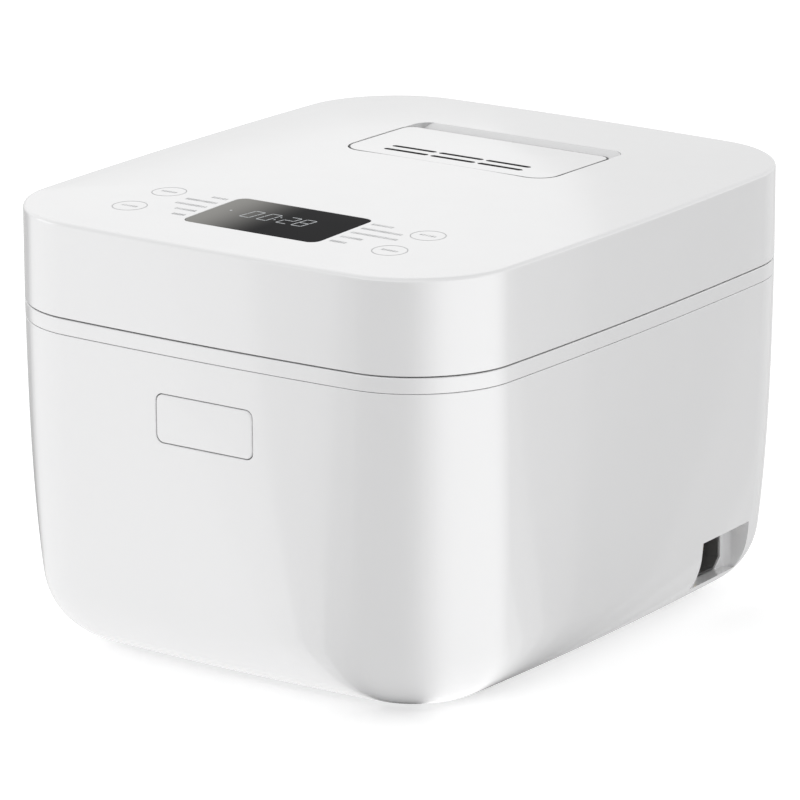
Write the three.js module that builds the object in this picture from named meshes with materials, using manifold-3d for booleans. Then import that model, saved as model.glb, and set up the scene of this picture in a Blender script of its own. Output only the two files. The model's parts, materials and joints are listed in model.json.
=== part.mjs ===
// Square-bodied rice cooker with a hinged lid, as an assembly of separate pieces.
// Millimetres, +Z up, front towards -Y. Origin: centre of the footprint, on the table.

import * as THREE from 'three';
import { mergeVertices } from 'three/addons/utils/BufferGeometryUtils.js';
import Module from 'manifold-3d';

const wasm = await Module();
wasm.setup();

// ---------- Driving dimensions ----------

// Outline seen from above
const WIDTH = 275; // side to side between the straight flanks, before they swell
const DEPTH = 325.8; // front to back, the same way
const BULGE = 4.8; // how far the middle of each flank swells out
const CORNER = 49.7; // corner radius at the lid
const CORNER_GAIN = 0.035; // corner radius gained per millimetre below the lid seam
const SMALLEST_CORNER = 3;

// Heights
const GROUND_CLEARANCE = 3; // underside of the body above the table
const SHELL_HEIGHT = 166.5; // outer shell, underside to top edge
const COLLAR_HEIGHT = 8.4; // deck collar, shell edge to lid seam
const LID_HEIGHT = 45.9; // lid flank, seam to the start of its top edge
const TOP_EDGE_RADIUS = 1.9;
const CROWN_RISE = 3; // how far the lid's top swells above its edge
const CROWN_RUN = 137; // distance from the edge over which it swells

// Body shape
const TAPER = 8.75; // how far the flanks draw in towards the bottom
const BOTTOM_ROUND_HEIGHT = 35.2;
const BOTTOM_ROUND_DEPTH = 38;
const BOTTOM_ROUND_POWER = 2.23; // squareness of the rounded bottom edge
const PARTING_ANGLE = 78; // where on that round the base plate takes over, degrees

// Walls and fits
const WALL = 2.5;
const GAP = 0.4; // clearance between neighbouring pieces
const SEAM_GAP = 0.7; // visible gap between lid and collar

// Cooking pot and what heats it
const POT_Y = 6; // pot axis behind the middle of the body
const POT_RADIUS = 108;
const POT_WALL = 2;
const POT_BOTTOM = 50.3; // underside of the pot above the table
const POT_BOTTOM_ROUND = 26;
const FLANGE_WIDTH = 10;
const DECK_DROP = 3.8; // deck surface below the collar's top edge
const CHAMBER_CLEARANCE = 5; // pot to chamber wall
const CHAMBER_WALL = 1.2;
const CHAMBER_FLOOR = 30;
const PLATE_MARGIN = 22; // heating plate inside the pot's radius
const PLATE_THICKNESS = 8;
const ELEMENT_MARGIN = 20; // heater tube inside the plate's edge
const ELEMENT_TUBE = 4;
const SENSOR_RADIUS = 18;
const SENSOR_TRAVEL = 3;

// Front release button and latch
const BUTTON_WIDTH = 58.2;
const BUTTON_HEIGHT = 25;
const BUTTON_CORNER = 4;
const BUTTON_BELOW_SEAM = 27.6; // seam down to the button's top edge
const BUTTON_TRAVEL = 3;
const STEM_RADIUS = 3;
const LATCH_SETBACK = 30.7; // latch pivot behind the front face
const LATCH_ABOVE_BUTTON = 14.2; // latch pivot above the button's middle
const LATCH_WIDTH = 12;
const LATCH_PIN_RADIUS = 1.5;

// Mains inlet pocket, low on the right flank
const POCKET_FROM_REAR = 51.9; // pocket's rear wall to the straight rear flank
const POCKET_LENGTH = 46;
const POCKET_Z = [17.8, 43.8];
const POCKET_SETBACK = 16; // inlet panel inside the straight right flank
const POCKET_ROUND = 5;
const SOCKET_FROM_REAR = 18; // socket's middle to the pocket's rear wall
const SOCKET_Z = 27;
const SOCKET_SIZE = [24, 15.7]; // cavity across and up
const SOCKET_RIM = 1.2;
const SOCKET_CAVITY_DEPTH = 15;

// Lid hinge
const HINGE_BACK = 9.7; // hinge axis in front of the lid's rear face
const TAIL_CLEARANCE = 0.55; // hinge cover's round tail above the deck
const HINGE_SETBACK = 29.5; // hinge cover's ends inside the straight side flanks
const HINGE_COVER_HEIGHT = 12; // hinge cover above the axis
const SHAFT_RADIUS = 2;
const KNUCKLE_RADIUS = 5;
const BRACKET_X = 64; // inner face of each hinge bracket
const BRACKET_THICKNESS = 3;
const ARM_THICKNESS = 4;

// Lid top: display, touch keys, steam vent
const DISPLAY_WIDTH = 80.6;
const DISPLAY_FROM_FRONT = 31.5; // window's front edge to the straight front flank
const DISPLAY_LENGTH = 50;
const DISPLAY_CORNER = 5.5;
const WINDOW_THICKNESS = 2;
const KEY_X = 78;
const KEYS_FROM_FRONT = [40.2, 72];
const KEY_PAD_RADIUS = 6;
const VENT_WIDTH = 127;
const VENT_FROM_REAR = 68.9; // cover's rear edge to the straight rear flank
const VENT_LENGTH = 63;
const VENT_CORNER = 13;
const VENT_REAR_CORNER = 6;
const VENT_DEPTH = 17; // recess floor below the crown
const SCOOP_LENGTH = 13.6; // finger scoop behind the vent cover
const SCOOP_WIDTH = 126;
const SCOOP_DEPTH = 12;
const SLOT_LENGTH = 27;
const SLOT_WIDTH = 2.2;
const SLOT_PITCH = 28.8;
const SLOTS_FROM_FRONT = [11.25, 18.75]; // slot rows behind the cover's front edge
const DUCT_FROM_FRONT = 29; // steam duct behind the cover's front edge
const DUCT_RADIUS = 11.5;
const VENT_LIP = 3; // vent tray inside the cover's edge

// Feet and screws
const FOOT_RADIUS = 10.5;
const FOOT_SETBACK = [49.5, 78.9]; // foot centres inside the straight flanks
const STUD_RADIUS = 3;
const SCREW_RADIUS = 1.6;
const SCREW_HEAD = 3.2;

// Mesh fineness
const CORNER_STEPS = 5;
const FLANK_STEPS = 4;
const ROUND_SIDES = 32;

// ---------- Heights that follow ----------

const UNDERSIDE = GROUND_CLEARANCE;
const SHELL_TOP = UNDERSIDE + SHELL_HEIGHT;
const SEAM = SHELL_TOP + COLLAR_HEIGHT;
const LID_BOTTOM = SEAM + SEAM_GAP / 2;
const COLLAR_TOP = SEAM - SEAM_GAP / 2;
const LID_SHOULDER = SEAM + LID_HEIGHT;
const LID_EDGE = LID_SHOULDER + TOP_EDGE_RADIUS;
const LID_TOP = LID_EDGE + CROWN_RISE;
const DECK = COLLAR_TOP - DECK_DROP;
const DECK_UNDERSIDE = DECK - WALL;
const FLANGE_BOTTOM = DECK + GAP;
const FLANGE_TOP = FLANGE_BOTTOM + POT_WALL;
const REAR_FACE = DEPTH / 2 + BULGE;
const FRONT_FACE = -REAR_FACE;
const HINGE_Y = REAR_FACE - HINGE_BACK;
const HINGE_Z = DECK + TAIL_CLEARANCE + HINGE_BACK;
const BUTTON_Z = SEAM - BUTTON_BELOW_SEAM - BUTTON_HEIGHT / 2;
const LATCH_Z = BUTTON_Z + LATCH_ABOVE_BUTTON;
const LINER_BOTTOM = LID_BOTTOM + 2;
const CHAMBER_RADIUS = POT_RADIUS + CHAMBER_CLEARANCE;
const FLANGE_RADIUS = POT_RADIUS + FLANGE_WIDTH;
const PLATE_TOP = POT_BOTTOM - GAP;
const PLATE_BOTTOM = PLATE_TOP - PLATE_THICKNESS;
const VENT_FLOOR = LID_TOP - VENT_DEPTH;
const PLATE_RADIUS = POT_RADIUS - PLATE_MARGIN;
const ELEMENT_RADIUS = PLATE_RADIUS - ELEMENT_MARGIN;
const LATCH_Y = FRONT_FACE + LATCH_SETBACK;
const POCKET_PANEL_X = WIDTH / 2 - POCKET_SETBACK;
const POCKET_BACK = DEPTH / 2 - POCKET_FROM_REAR;
const POCKET_Y = [POCKET_BACK - POCKET_LENGTH, POCKET_BACK];
const SOCKET_CENTRE = [POCKET_BACK - SOCKET_FROM_REAR, SOCKET_Z]; // y, z
const HINGE_HALF_WIDTH = WIDTH / 2 - HINGE_SETBACK;
const DISPLAY_FRONT = -DEPTH / 2 + DISPLAY_FROM_FRONT;
const DISPLAY_Y = [DISPLAY_FRONT, DISPLAY_FRONT + DISPLAY_LENGTH];
const KEY_Y = KEYS_FROM_FRONT.map((y) => y - DEPTH / 2);
const VENT_BACK = DEPTH / 2 - VENT_FROM_REAR;
const VENT_Y = [VENT_BACK - VENT_LENGTH, VENT_BACK];
const SCOOP_Y = VENT_BACK + SCOOP_LENGTH;
const SLOT_ROWS = SLOTS_FROM_FRONT.map((y) => VENT_Y[0] + y);
const DUCT_Y = VENT_Y[0] + DUCT_FROM_FRONT;
const [FOOT_X, FOOT_Y] = [WIDTH / 2 - FOOT_SETBACK[0], DEPTH / 2 - FOOT_SETBACK[1]];
const FAR = 400; // longer than anything a cutting tool has to pass through

// ---------- Shape tools ----------

function faceOutward(geometry) {
  const p = geometry.attributes.position.array;
  const index = geometry.index.array;
  let volume = 0;
  for (let i = 0; i < index.length; i += 3) {
    const [a, b, c] = [0, 1, 2].map((k) => new THREE.Vector3().fromArray(p, 3 * index[i + k]));
    volume += a.dot(b.cross(c));
  }
  if (volume < 0) {
    for (let i = 0; i < index.length; i += 3) [index[i], index[i + 1]] = [index[i + 1], index[i]];
  }
  return geometry;
}

// Merges shared vertices and drops the empty triangles that poles leave behind.
function closed(geometry) {
  const bare = geometry.clone();
  for (const name of Object.keys(bare.attributes)) {
    if (name !== 'position') bare.deleteAttribute(name);
  }
  const merged = mergeVertices(bare, 1e-4);
  const old = merged.index.array;
  const kept = [];
  for (let i = 0; i < old.length; i += 3) {
    const [a, b, c] = [old[i], old[i + 1], old[i + 2]];
    if (a !== b && b !== c && c !== a) kept.push(a, b, c);
  }
  merged.setIndex(kept);
  return faceOutward(merged);
}

function toSolid(geometry) {
  const whole = closed(geometry);
  return new wasm.Manifold(new wasm.Mesh({
    numProp: 3,
    vertProperties: new Float32Array(whole.attributes.position.array),
    triVerts: new Uint32Array(whole.index.array),
  }));
}

function toGeometry(solid) {
  const mesh = solid.getMesh();
  const geometry = new THREE.BufferGeometry();
  geometry.setAttribute('position', new THREE.BufferAttribute(mesh.vertProperties, 3));
  geometry.setIndex(new THREE.BufferAttribute(mesh.triVerts, 1));
  return geometry;
}

function join(first, ...others) {
  return others.reduce((whole, piece) => whole.add(piece), first);
}

function cut(first, ...tools) {
  return tools.reduce((whole, tool) => whole.subtract(tool), first);
}

function box([x0, x1], [y0, y1], [z0, z1]) {
  const geometry = new THREE.BoxGeometry(x1 - x0, y1 - y0, z1 - z0);
  return toSolid(geometry.translate((x0 + x1) / 2, (y0 + y1) / 2, (z0 + z1) / 2));
}

// A round bar from one point to another.
function rod(radius, from, to, sides = 20) {
  const start = new THREE.Vector3(...from);
  const end = new THREE.Vector3(...to);
  const geometry = new THREE.CylinderGeometry(radius, radius, start.distanceTo(end), sides);
  const turn = new THREE.Quaternion().setFromUnitVectors(
    new THREE.Vector3(0, 1, 0), end.clone().sub(start).normalize());
  geometry.applyQuaternion(turn);
  const middle = start.add(end).multiplyScalar(0.5);
  return toSolid(geometry.translate(middle.x, middle.y, middle.z));
}

// A turned piece: profile points are [radius, height], about a vertical axis at x, y.
function turned(profile, [x, y] = [0, POT_Y], sides = ROUND_SIDES) {
  const points = [...profile, profile[0]].map(([r, z]) => new THREE.Vector2(r, z));
  const geometry = new THREE.LatheGeometry(points, sides);
  return toSolid(geometry.rotateX(Math.PI / 2).translate(x, y, 0));
}

function disc(radius, [z0, z1], centre, sides) {
  return turned([[0, z0], [radius, z0], [radius, z1], [0, z1]], centre, sides);
}

function pipe(outer, inner, [z0, z1], centre, sides) {
  return turned([[inner, z0], [outer, z0], [outer, z1], [inner, z1]], centre, sides);
}

// A rectangle with round corners; low and high are the corner radii at its two v ends.
function roundedRectangle([u0, u1], [v0, v1], low, high = low) {
  const shape = new THREE.Shape();
  shape.moveTo(u0 + low, v0);
  shape.absarc(u1 - low, v0 + low, low, -Math.PI / 2, 0);
  shape.absarc(u1 - high, v1 - high, high, 0, Math.PI / 2);
  shape.absarc(u0 + high, v1 - high, high, Math.PI / 2, Math.PI);
  shape.absarc(u0 + low, v0 + low, low, Math.PI, 1.5 * Math.PI);
  return shape;
}

function polygon(points) {
  return new THREE.Shape(points.map(([u, v]) => new THREE.Vector2(u, v)));
}

function extruded(shape, length) {
  return new THREE.ExtrudeGeometry(shape, { depth: length, bevelEnabled: false, curveSegments: 4 });
}

function prismZ(shape, [z0, z1]) {
  return toSolid(extruded(shape, z1 - z0).translate(0, 0, z0));
}

// The shape's u, v are x, z.
function prismY(shape, [y0, y1]) {
  return toSolid(extruded(shape, y1 - y0).rotateX(Math.PI / 2).translate(0, y1, 0));
}

// The shape's u, v are y, z.
function prismX(shape, [x0, x1]) {
  const basis = new THREE.Matrix4().makeBasis(
    new THREE.Vector3(0, 1, 0), new THREE.Vector3(0, 0, 1), new THREE.Vector3(1, 0, 0));
  return toSolid(extruded(shape, x1 - x0).applyMatrix4(basis).translate(x0, 0, 0));
}

function tube(curve, radius, steps, sides = 6) {
  const section = new THREE.Shape();
  section.absarc(0, 0, radius, 0, 2 * Math.PI);
  const points = section.getPoints(sides).slice(0, sides);
  const geometry = new THREE.ExtrudeGeometry(new THREE.Shape(points),
    { steps, extrudePath: curve, bevelEnabled: false });
  return toSolid(geometry);
}

class Helix extends THREE.Curve {
  constructor(radius, turns, from, to) {
    super();
    Object.assign(this, { radius, turns });
    this.from = new THREE.Vector3(...from);
    this.along = new THREE.Vector3(...to).sub(this.from);
    const turn = new THREE.Quaternion().setFromUnitVectors(
      new THREE.Vector3(0, 0, 1), this.along.clone().normalize());
    this.side = new THREE.Vector3(1, 0, 0).applyQuaternion(turn);
    this.lift = new THREE.Vector3(0, 1, 0).applyQuaternion(turn);
  }

  getPoint(t, target = new THREE.Vector3()) {
    const angle = 2 * Math.PI * this.turns * t;
    return target.copy(this.from).addScaledVector(this.along, t)
      .addScaledVector(this.side, this.radius * Math.cos(angle))
      .addScaledVector(this.lift, this.radius * Math.sin(angle));
  }
}

function coilSpring(radius, wire, turns, from, to) {
  return tube(new Helix(radius, turns, from, to), wire / 2, turns * 8, 4);
}

// ---------- The cooker's outline ----------

// One horizontal ring of the outline, drawn in by inset, at height z.
function ring([inset, z]) {
  const a = WIDTH / 2 - inset;
  const b = DEPTH / 2 - inset;
  const gain = CORNER_GAIN * Math.max(0, SEAM - z);
  const r = Math.max(CORNER - inset + gain, SMALLEST_CORNER);
  const centre = (k) => [(a - r) * [1, -1, -1, 1][k % 4], (b - r) * [1, 1, -1, -1][k % 4]];
  const points = [];
  for (let k = 0; k < 4; k++) {
    for (let i = 0; i < CORNER_STEPS; i++) {
      const angle = (k + i / CORNER_STEPS) * Math.PI / 2;
      points.push([centre(k)[0] + r * Math.cos(angle), centre(k)[1] + r * Math.sin(angle)]);
    }
    const turn = (k + 1) * Math.PI / 2;
    for (let j = 0; j < FLANK_STEPS; j++) {
      const t = j / FLANK_STEPS;
      const [x, y] = [0, 1].map((n) => centre(k)[n] * (1 - t) + centre(k + 1)[n] * t);
      points.push([x + r * Math.cos(turn), y + r * Math.sin(turn)]);
    }
  }
  return points.map(([x, y]) => new THREE.Vector3(
    x + Math.sign(x) * BULGE * (1 - (y / b) ** 2) * (Math.abs(x) / a) ** 4,
    y + Math.sign(y) * BULGE * (1 - (x / a) ** 2) * (Math.abs(y) / b) ** 4,
    z));
}

// Skins a profile of [inset, z] points with rings. An open profile is closed by flat or poled ends.
function loft(profile, loops) {
  const rings = profile.map(ring);
  const count = rings[0].length;
  const positions = rings.flat().flatMap((p) => p.toArray());
  const index = [];
  const bands = loops ? rings.length : rings.length - 1;
  for (let k = 0; k < bands; k++) {
    const next = (k + 1) % rings.length;
    for (let i = 0; i < count; i++) {
      const j = (i + 1) % count;
      const [a, b] = [k * count + i, k * count + j];
      const [c, d] = [next * count + j, next * count + i];
      index.push(a, b, c, a, c, d);
    }
  }
  if (!loops) {
    const last = (rings.length - 1) * count;
    const pole = rings.length * count;
    positions.push(0, 0, poleHeight(profile[0]), 0, 0, poleHeight(profile.at(-1)));
    for (let i = 0; i < count; i++) {
      const j = (i + 1) % count;
      index.push(pole, j, i, pole + 1, last + i, last + j);
    }
  }
  const geometry = new THREE.BufferGeometry();
  geometry.setAttribute('position', new THREE.Float32BufferAttribute(positions, 3));
  geometry.setIndex(index);
  return toSolid(geometry);
}

// A crown ring's pole carries on the crown; any other end is flat.
function poleHeight([inset, z]) {
  return inset > WIDTH / 4 && z > LID_SHOULDER - 2 * WALL ? z + CROWN_RISE - crown(inset) : z;
}

function crown(inset) {
  return CROWN_RISE * (1 - (1 - Math.min(inset, CROWN_RUN) / CROWN_RUN) ** 2);
}

function bodyPoint(z, roundInset = 0) {
  const down = Math.max(0, SEAM - z) / (SEAM - UNDERSIDE);
  return [TAPER * down ** 3 + roundInset, z];
}

// Flank and bottom round of the body, from the given height down to the parting line.
function bodyProfile(top) {
  const roundTop = UNDERSIDE + BOTTOM_ROUND_HEIGHT;
  const profile = [];
  for (let i = 0; i < 3; i++) profile.push(bodyPoint(top + (roundTop - top) * i / 3));
  for (let i = 0; i <= 5; i++) {
    const angle = THREE.MathUtils.degToRad(PARTING_ANGLE * i / 5);
    const drop = Math.sin(angle) ** (2 / BOTTOM_ROUND_POWER);
    const draw = 1 - Math.cos(angle) ** (2 / BOTTOM_ROUND_POWER);
    profile.push(bodyPoint(roundTop - BOTTOM_ROUND_HEIGHT * drop, BOTTOM_ROUND_DEPTH * draw));
  }
  return profile;
}

// The lid's outer profile, bottom edge to crown, moved inwards by depth.
function lidProfile(depth = 0) {
  const profile = [[depth, LID_BOTTOM]];
  for (const angle of [0, 45, 90]) {
    const turn = THREE.MathUtils.degToRad(angle);
    profile.push([
      depth + TOP_EDGE_RADIUS * (1 - Math.cos(turn)),
      LID_SHOULDER - depth + TOP_EDGE_RADIUS * Math.sin(turn),
    ]);
  }
  for (const inset of [30, 68, 108]) profile.push([inset, LID_EDGE - depth + crown(inset)]);
  return profile;
}

// The same profile moved inwards by a wall's thickness: square to it, but level at its top end
// and straight up at its bottom end.
function thickened(profile, depth) {
  return profile.map(([inset, z], i) => {
    if (i === 0) return [inset + depth, z];
    if (i === profile.length - 1) return [inset, z + depth];
    const before = profile[i - 1];
    const after = profile[i + 1];
    const [du, dz] = [after[0] - before[0], before[1] - after[1]];
    const length = Math.hypot(du, dz);
    return [inset + depth * dz / length, z + depth * du / length];
  });
}

const flankProfile = bodyProfile(SHELL_TOP);
const partingInset = flankProfile.at(-1)[0];
const bodyBlank = loft([bodyPoint(COLLAR_TOP), ...flankProfile], false);
const lidBlank = loft(lidProfile(), false);

// An outline slab: the cooker's plan shape drawn in by inset, between two heights.
function slab(inset, [z0, z1]) {
  return loft([[inset, z0], [inset, z1]], false);
}

// ---------- Materials ----------

function finish(color, roughness, metalness = 0) {
  return new THREE.MeshStandardMaterial({ color, roughness, metalness });
}

const whiteGloss = () => finish(0xf1f1f3, 0.18);
const whiteInside = () => finish(0xdedfe1, 0.5);
const darkGlass = () => finish(0x1d1f22, 0.06);
const blackPlastic = () => finish(0x1b1b1d, 0.45);
const greyRubber = () => finish(0x4b4c4f, 0.85);
const clearRubber = () => finish(0xb9bcbf, 0.6);
const aluminium = () => finish(0xc9cbce, 0.35, 1);
const steel = () => finish(0xb4b7bb, 0.3, 1);
const zincSteel = () => finish(0xa9acb0, 0.45, 1);
const potCoating = () => finish(0x3b3c40, 0.4, 0.3);
const brass = () => finish(0xc8a24a, 0.3, 1);
const boardGreen = () => finish(0x1f5a38, 0.5);
const yellowTape = () => finish(0xd9b64a, 0.6);
const leadGrey = () => finish(0x8d9094, 0.6);

const cooker = new THREE.Group();

// Drops the empty slivers that a cut flush with a face can leave.
function withoutSlivers(solid) {
  const bodies = solid.decompose().filter((body) => body.volume() > 1e-3);
  return bodies.length === 1 ? bodies[0] : wasm.Manifold.compose(bodies);
}

function piece(name, solid, material) {
  const mesh = new THREE.Mesh(toGeometry(withoutSlivers(solid)), material);
  mesh.name = name;
  cooker.add(mesh);
}

// ---------- Body: shell, base, feet ----------

function inletPocket() {
  const outside = POCKET_PANEL_X + 40;
  const [y0, y1] = POCKET_Y;
  const shape = new THREE.Shape();
  shape.moveTo(outside, y0);
  shape.lineTo(outside, y1);
  shape.absarc(POCKET_PANEL_X + POCKET_ROUND, y1 - POCKET_ROUND, POCKET_ROUND, Math.PI / 2, Math.PI);
  shape.absarc(POCKET_PANEL_X + POCKET_ROUND, y0 + POCKET_ROUND, POCKET_ROUND, Math.PI, 1.5 * Math.PI);
  return prismZ(shape, POCKET_Z);
}

function socketBlock(margin) {
  const [y, z] = SOCKET_CENTRE;
  const half = SOCKET_SIZE.map((size) => size / 2 + SOCKET_RIM + margin);
  return box([POCKET_PANEL_X - SOCKET_CAVITY_DEPTH - 6, POCKET_PANEL_X - GAP + margin],
    [y - half[0], y + half[0]], [z - half[1], z + half[1]]);
}

function buttonPrism(margin, depth) {
  const half = BUTTON_WIDTH / 2 + margin;
  const shape = roundedRectangle([-half, half],
    [BUTTON_Z - BUTTON_HEIGHT / 2 - margin, BUTTON_Z + BUTTON_HEIGHT / 2 + margin], BUTTON_CORNER);
  return prismY(shape, depth);
}

function outerShell() {
  const skin = loft([...flankProfile, ...thickened(flankProfile, WALL).reverse()], true);
  const pocketWall = box([POCKET_PANEL_X - WALL, POCKET_PANEL_X + 40],
    [POCKET_Y[0] - WALL, POCKET_Y[1] + WALL], [POCKET_Z[0] - WALL, POCKET_Z[1] + WALL]);
  return cut(join(skin, pocketWall.intersect(bodyBlank)),
    inletPocket(), socketBlock(GAP), buttonPrism(0, [-FAR, FRONT_FACE + 20]));
}

const BASE_THICKNESS = 2.6;
const BOARD_X = [-88, -16];
const BOARD_Y = [-62, 26];
const BOARD_Z = 16;
const BOARD_THICKNESS = 1.6;
const BOARD_POST_INSET = 6;
const corners = [[-1, -1, 'front_left'], [1, -1, 'front_right'], [-1, 1, 'rear_left'], [1, 1, 'rear_right']];

function boardPosts() {
  const xs = [BOARD_X[0] + BOARD_POST_INSET, BOARD_X[1] - BOARD_POST_INSET];
  const ys = [BOARD_Y[0] + BOARD_POST_INSET, BOARD_Y[1] - BOARD_POST_INSET];
  return xs.flatMap((x) => ys.map((y) => disc(3, [UNDERSIDE + 1, BOARD_Z - GAP], [x, y], 8)));
}

// Closes the bottom: a slab in the shell's opening with a flange that rests inside on its edge.
function basePlate() {
  const flangeBottom = UNDERSIDE + BASE_THICKNESS + 1.4;
  const plate = join(
    slab(partingInset + GAP, [UNDERSIDE, UNDERSIDE + BASE_THICKNESS]),
    slab(partingInset + 4, [UNDERSIDE, flangeBottom + 2]),
    slab(partingInset - 2, [flangeBottom, flangeBottom + 2]),
    ...boardPosts());
  const studHoles = corners.map(([sx, sy]) =>
    disc(STUD_RADIUS + GAP, [-1, 30], [sx * FOOT_X, sy * FOOT_Y], 12));
  const screwHoles = corners.map(([sx, sy]) =>
    disc(SCREW_RADIUS + GAP, [-1, 30], screwPlace(sx, sy), 8));
  const screwSinks = corners.map(([sx, sy]) =>
    disc(SCREW_HEAD + GAP, [-1, UNDERSIDE + 2.2], screwPlace(sx, sy), 12));
  const airSlots = [-2, -1, 0, 1, 2].map((i) =>
    box([i * 12 - 2, i * 12 + 2], [44, 84], [-1, 30]));
  return cut(plate, ...studHoles, ...screwHoles, ...screwSinks, ...airSlots);
}

function screwPlace(sx, sy) {
  return [sx * (FOOT_X - 20), sy * (FOOT_Y + 14)];
}

function foot(sx, sy) {
  const top = UNDERSIDE - GAP;
  return turned([[0, 0], [FOOT_RADIUS - 1, 0], [FOOT_RADIUS, 1], [FOOT_RADIUS, top],
    [STUD_RADIUS, top], [STUD_RADIUS, top + 6], [0, top + 6]], [sx * FOOT_X, sy * FOOT_Y], 16);
}

function baseScrew(sx, sy) {
  const headTop = UNDERSIDE + 2.2 - GAP;
  return turned([[0, UNDERSIDE + 0.2], [SCREW_HEAD, UNDERSIDE + 0.2], [SCREW_HEAD, headTop],
    [SCREW_RADIUS, headTop], [SCREW_RADIUS, headTop + 12], [0, headTop + 12]], screwPlace(sx, sy), 8);
}

piece('outer_shell', outerShell(), whiteGloss());
piece('base_plate', basePlate(), whiteInside());
for (const [sx, sy, place] of corners) {
  piece(`foot_${place}`, foot(sx, sy), greyRubber());
  piece(`base_screw_${place}`, baseScrew(sx, sy), zincSteel());
}

// ---------- Body: deck and cooking chamber ----------

const LATCH_SLOT_Y = [LATCH_Y - 15, LATCH_Y + 11];
const LATCH_SLOT_HALF = LATCH_WIDTH / 2 + 2;
const BRACKET_HALF = KNUCKLE_RADIUS;
const brackets = [[-1, 'left'], [1, 'right']];

function bracketSpan(side, margin) {
  const span = [BRACKET_X - margin, BRACKET_X + BRACKET_THICKNESS + margin].map((x) => side * x);
  return span.sort((a, b) => a - b);
}

// Top panel of the body: visible collar, sunk deck round the pot, and a lip inside the shell.
function deckRing() {
  const rim = 5;
  const lip = WALL + GAP;
  const collar = loft([
    [0, SHELL_TOP + GAP / 2], [0, COLLAR_TOP - 0.6], [0.6, COLLAR_TOP], [rim, COLLAR_TOP], [rim + 1.5, DECK],
    [rim + 1.5, DECK_UNDERSIDE], [lip + 2, DECK_UNDERSIDE], [lip + 2, SHELL_TOP - 6],
    [lip, SHELL_TOP - 6], [lip, SHELL_TOP + GAP / 2],
  ], true);
  const deck = slab(rim + 1, [DECK_UNDERSIDE, DECK]);
  const hingeNotch = box([-HINGE_HALF_WIDTH - GAP, HINGE_HALF_WIDTH + GAP],
    [HINGE_Y - HINGE_BACK - 2, FAR], [DECK, LID_TOP]);
  const bracketSlots = brackets.map(([side]) => box(bracketSpan(side, GAP),
    [HINGE_Y - BRACKET_HALF - GAP, HINGE_Y + BRACKET_HALF + GAP], [0, LID_TOP]));
  return cut(join(collar, deck),
    disc(POT_RADIUS + 3, [0, LID_TOP], [0, POT_Y], 48), hingeNotch, ...bracketSlots,
    box([-LATCH_SLOT_HALF, LATCH_SLOT_HALF], LATCH_SLOT_Y, [0, LID_TOP]));
}

// Sheet-metal bucket that surrounds the pot.
function cookingChamber() {
  const [out, inn] = [CHAMBER_RADIUS, CHAMBER_RADIUS - CHAMBER_WALL];
  const top = DECK_UNDERSIDE - GAP;
  return turned([
    [24, CHAMBER_FLOOR], [out - 12, CHAMBER_FLOOR], [out, CHAMBER_FLOOR + 12], [out, top - CHAMBER_WALL],
    [out + 6, top - CHAMBER_WALL], [out + 6, top], [inn, top], [inn, CHAMBER_FLOOR + 12.5],
    [inn - 11.5, CHAMBER_FLOOR + CHAMBER_WALL], [24, CHAMBER_FLOOR + CHAMBER_WALL],
  ]);
}

// Cast plate that the pot stands on, with three short legs on the chamber floor.
function heatingPlate() {
  const hole = SENSOR_RADIUS + 7;
  const plate = turned([[hole, PLATE_BOTTOM], [PLATE_RADIUS - 3, PLATE_BOTTOM],
    [PLATE_RADIUS, PLATE_BOTTOM + 3], [PLATE_RADIUS, PLATE_TOP - 2], [PLATE_RADIUS - 2, PLATE_TOP],
    [hole, PLATE_TOP]]);
  const legs = [30, 150, 270].map((angle) => {
    const turn = THREE.MathUtils.degToRad(angle);
    const reach = PLATE_RADIUS - 7;
    const place = [reach * Math.cos(turn), POT_Y + reach * Math.sin(turn)];
    return disc(4, [CHAMBER_FLOOR + CHAMBER_WALL + GAP, PLATE_BOTTOM + 1], place, 12);
  });
  return join(plate, ...legs);
}

// Open ring of heater tube with its two ends turned down to the terminals.
function heatingElement() {
  const z = PLATE_BOTTOM - GAP - ELEMENT_TUBE;
  const points = [];
  for (let i = 0; i <= 24; i++) {
    const angle = THREE.MathUtils.degToRad(-70 + 320 * i / 24);
    points.push(new THREE.Vector3(
      ELEMENT_RADIUS * Math.cos(angle), POT_Y + ELEMENT_RADIUS * Math.sin(angle), z));
  }
  return tube(new THREE.CatmullRomCurve3(points), ELEMENT_TUBE, 26, 7);
}

// Thin-walled pot with a rounded bottom and a flange that rests on the deck.
function cookingPot() {
  const outside = [];
  const inside = [];
  for (let i = 0; i <= 4; i++) {
    const turn = (i / 4) * Math.PI / 2;
    const [s, c] = [Math.sin(turn), Math.cos(turn)];
    const [cr, cz] = [POT_RADIUS - POT_BOTTOM_ROUND, POT_BOTTOM + POT_BOTTOM_ROUND];
    outside.push([cr + POT_BOTTOM_ROUND * s, cz - POT_BOTTOM_ROUND * c]);
    inside.push([cr + (POT_BOTTOM_ROUND - POT_WALL) * s, cz - (POT_BOTTOM_ROUND - POT_WALL) * c]);
  }
  return turned([[0, POT_BOTTOM], ...outside, [POT_RADIUS, FLANGE_BOTTOM], [FLANGE_RADIUS, FLANGE_BOTTOM],
    [FLANGE_RADIUS, FLANGE_TOP], [POT_RADIUS - POT_WALL, FLANGE_TOP], ...inside.reverse(),
    [0, POT_BOTTOM + POT_WALL]]);
}

piece('deck_ring', deckRing(), whiteGloss());
piece('cooking_chamber', cookingChamber(), zincSteel());
piece('heating_plate', heatingPlate(), aluminium());
piece('heating_element', heatingElement(), steel());
piece('inner_pot', cookingPot(), potCoating());

// ---------- Body: temperature sensor under the pot ----------

const SENSOR_FLOOR = CHAMBER_FLOOR + CHAMBER_WALL + GAP;
const SENSOR_TOP = POT_BOTTOM - GAP;
const SENSOR_WALL = 1.4;

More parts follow.
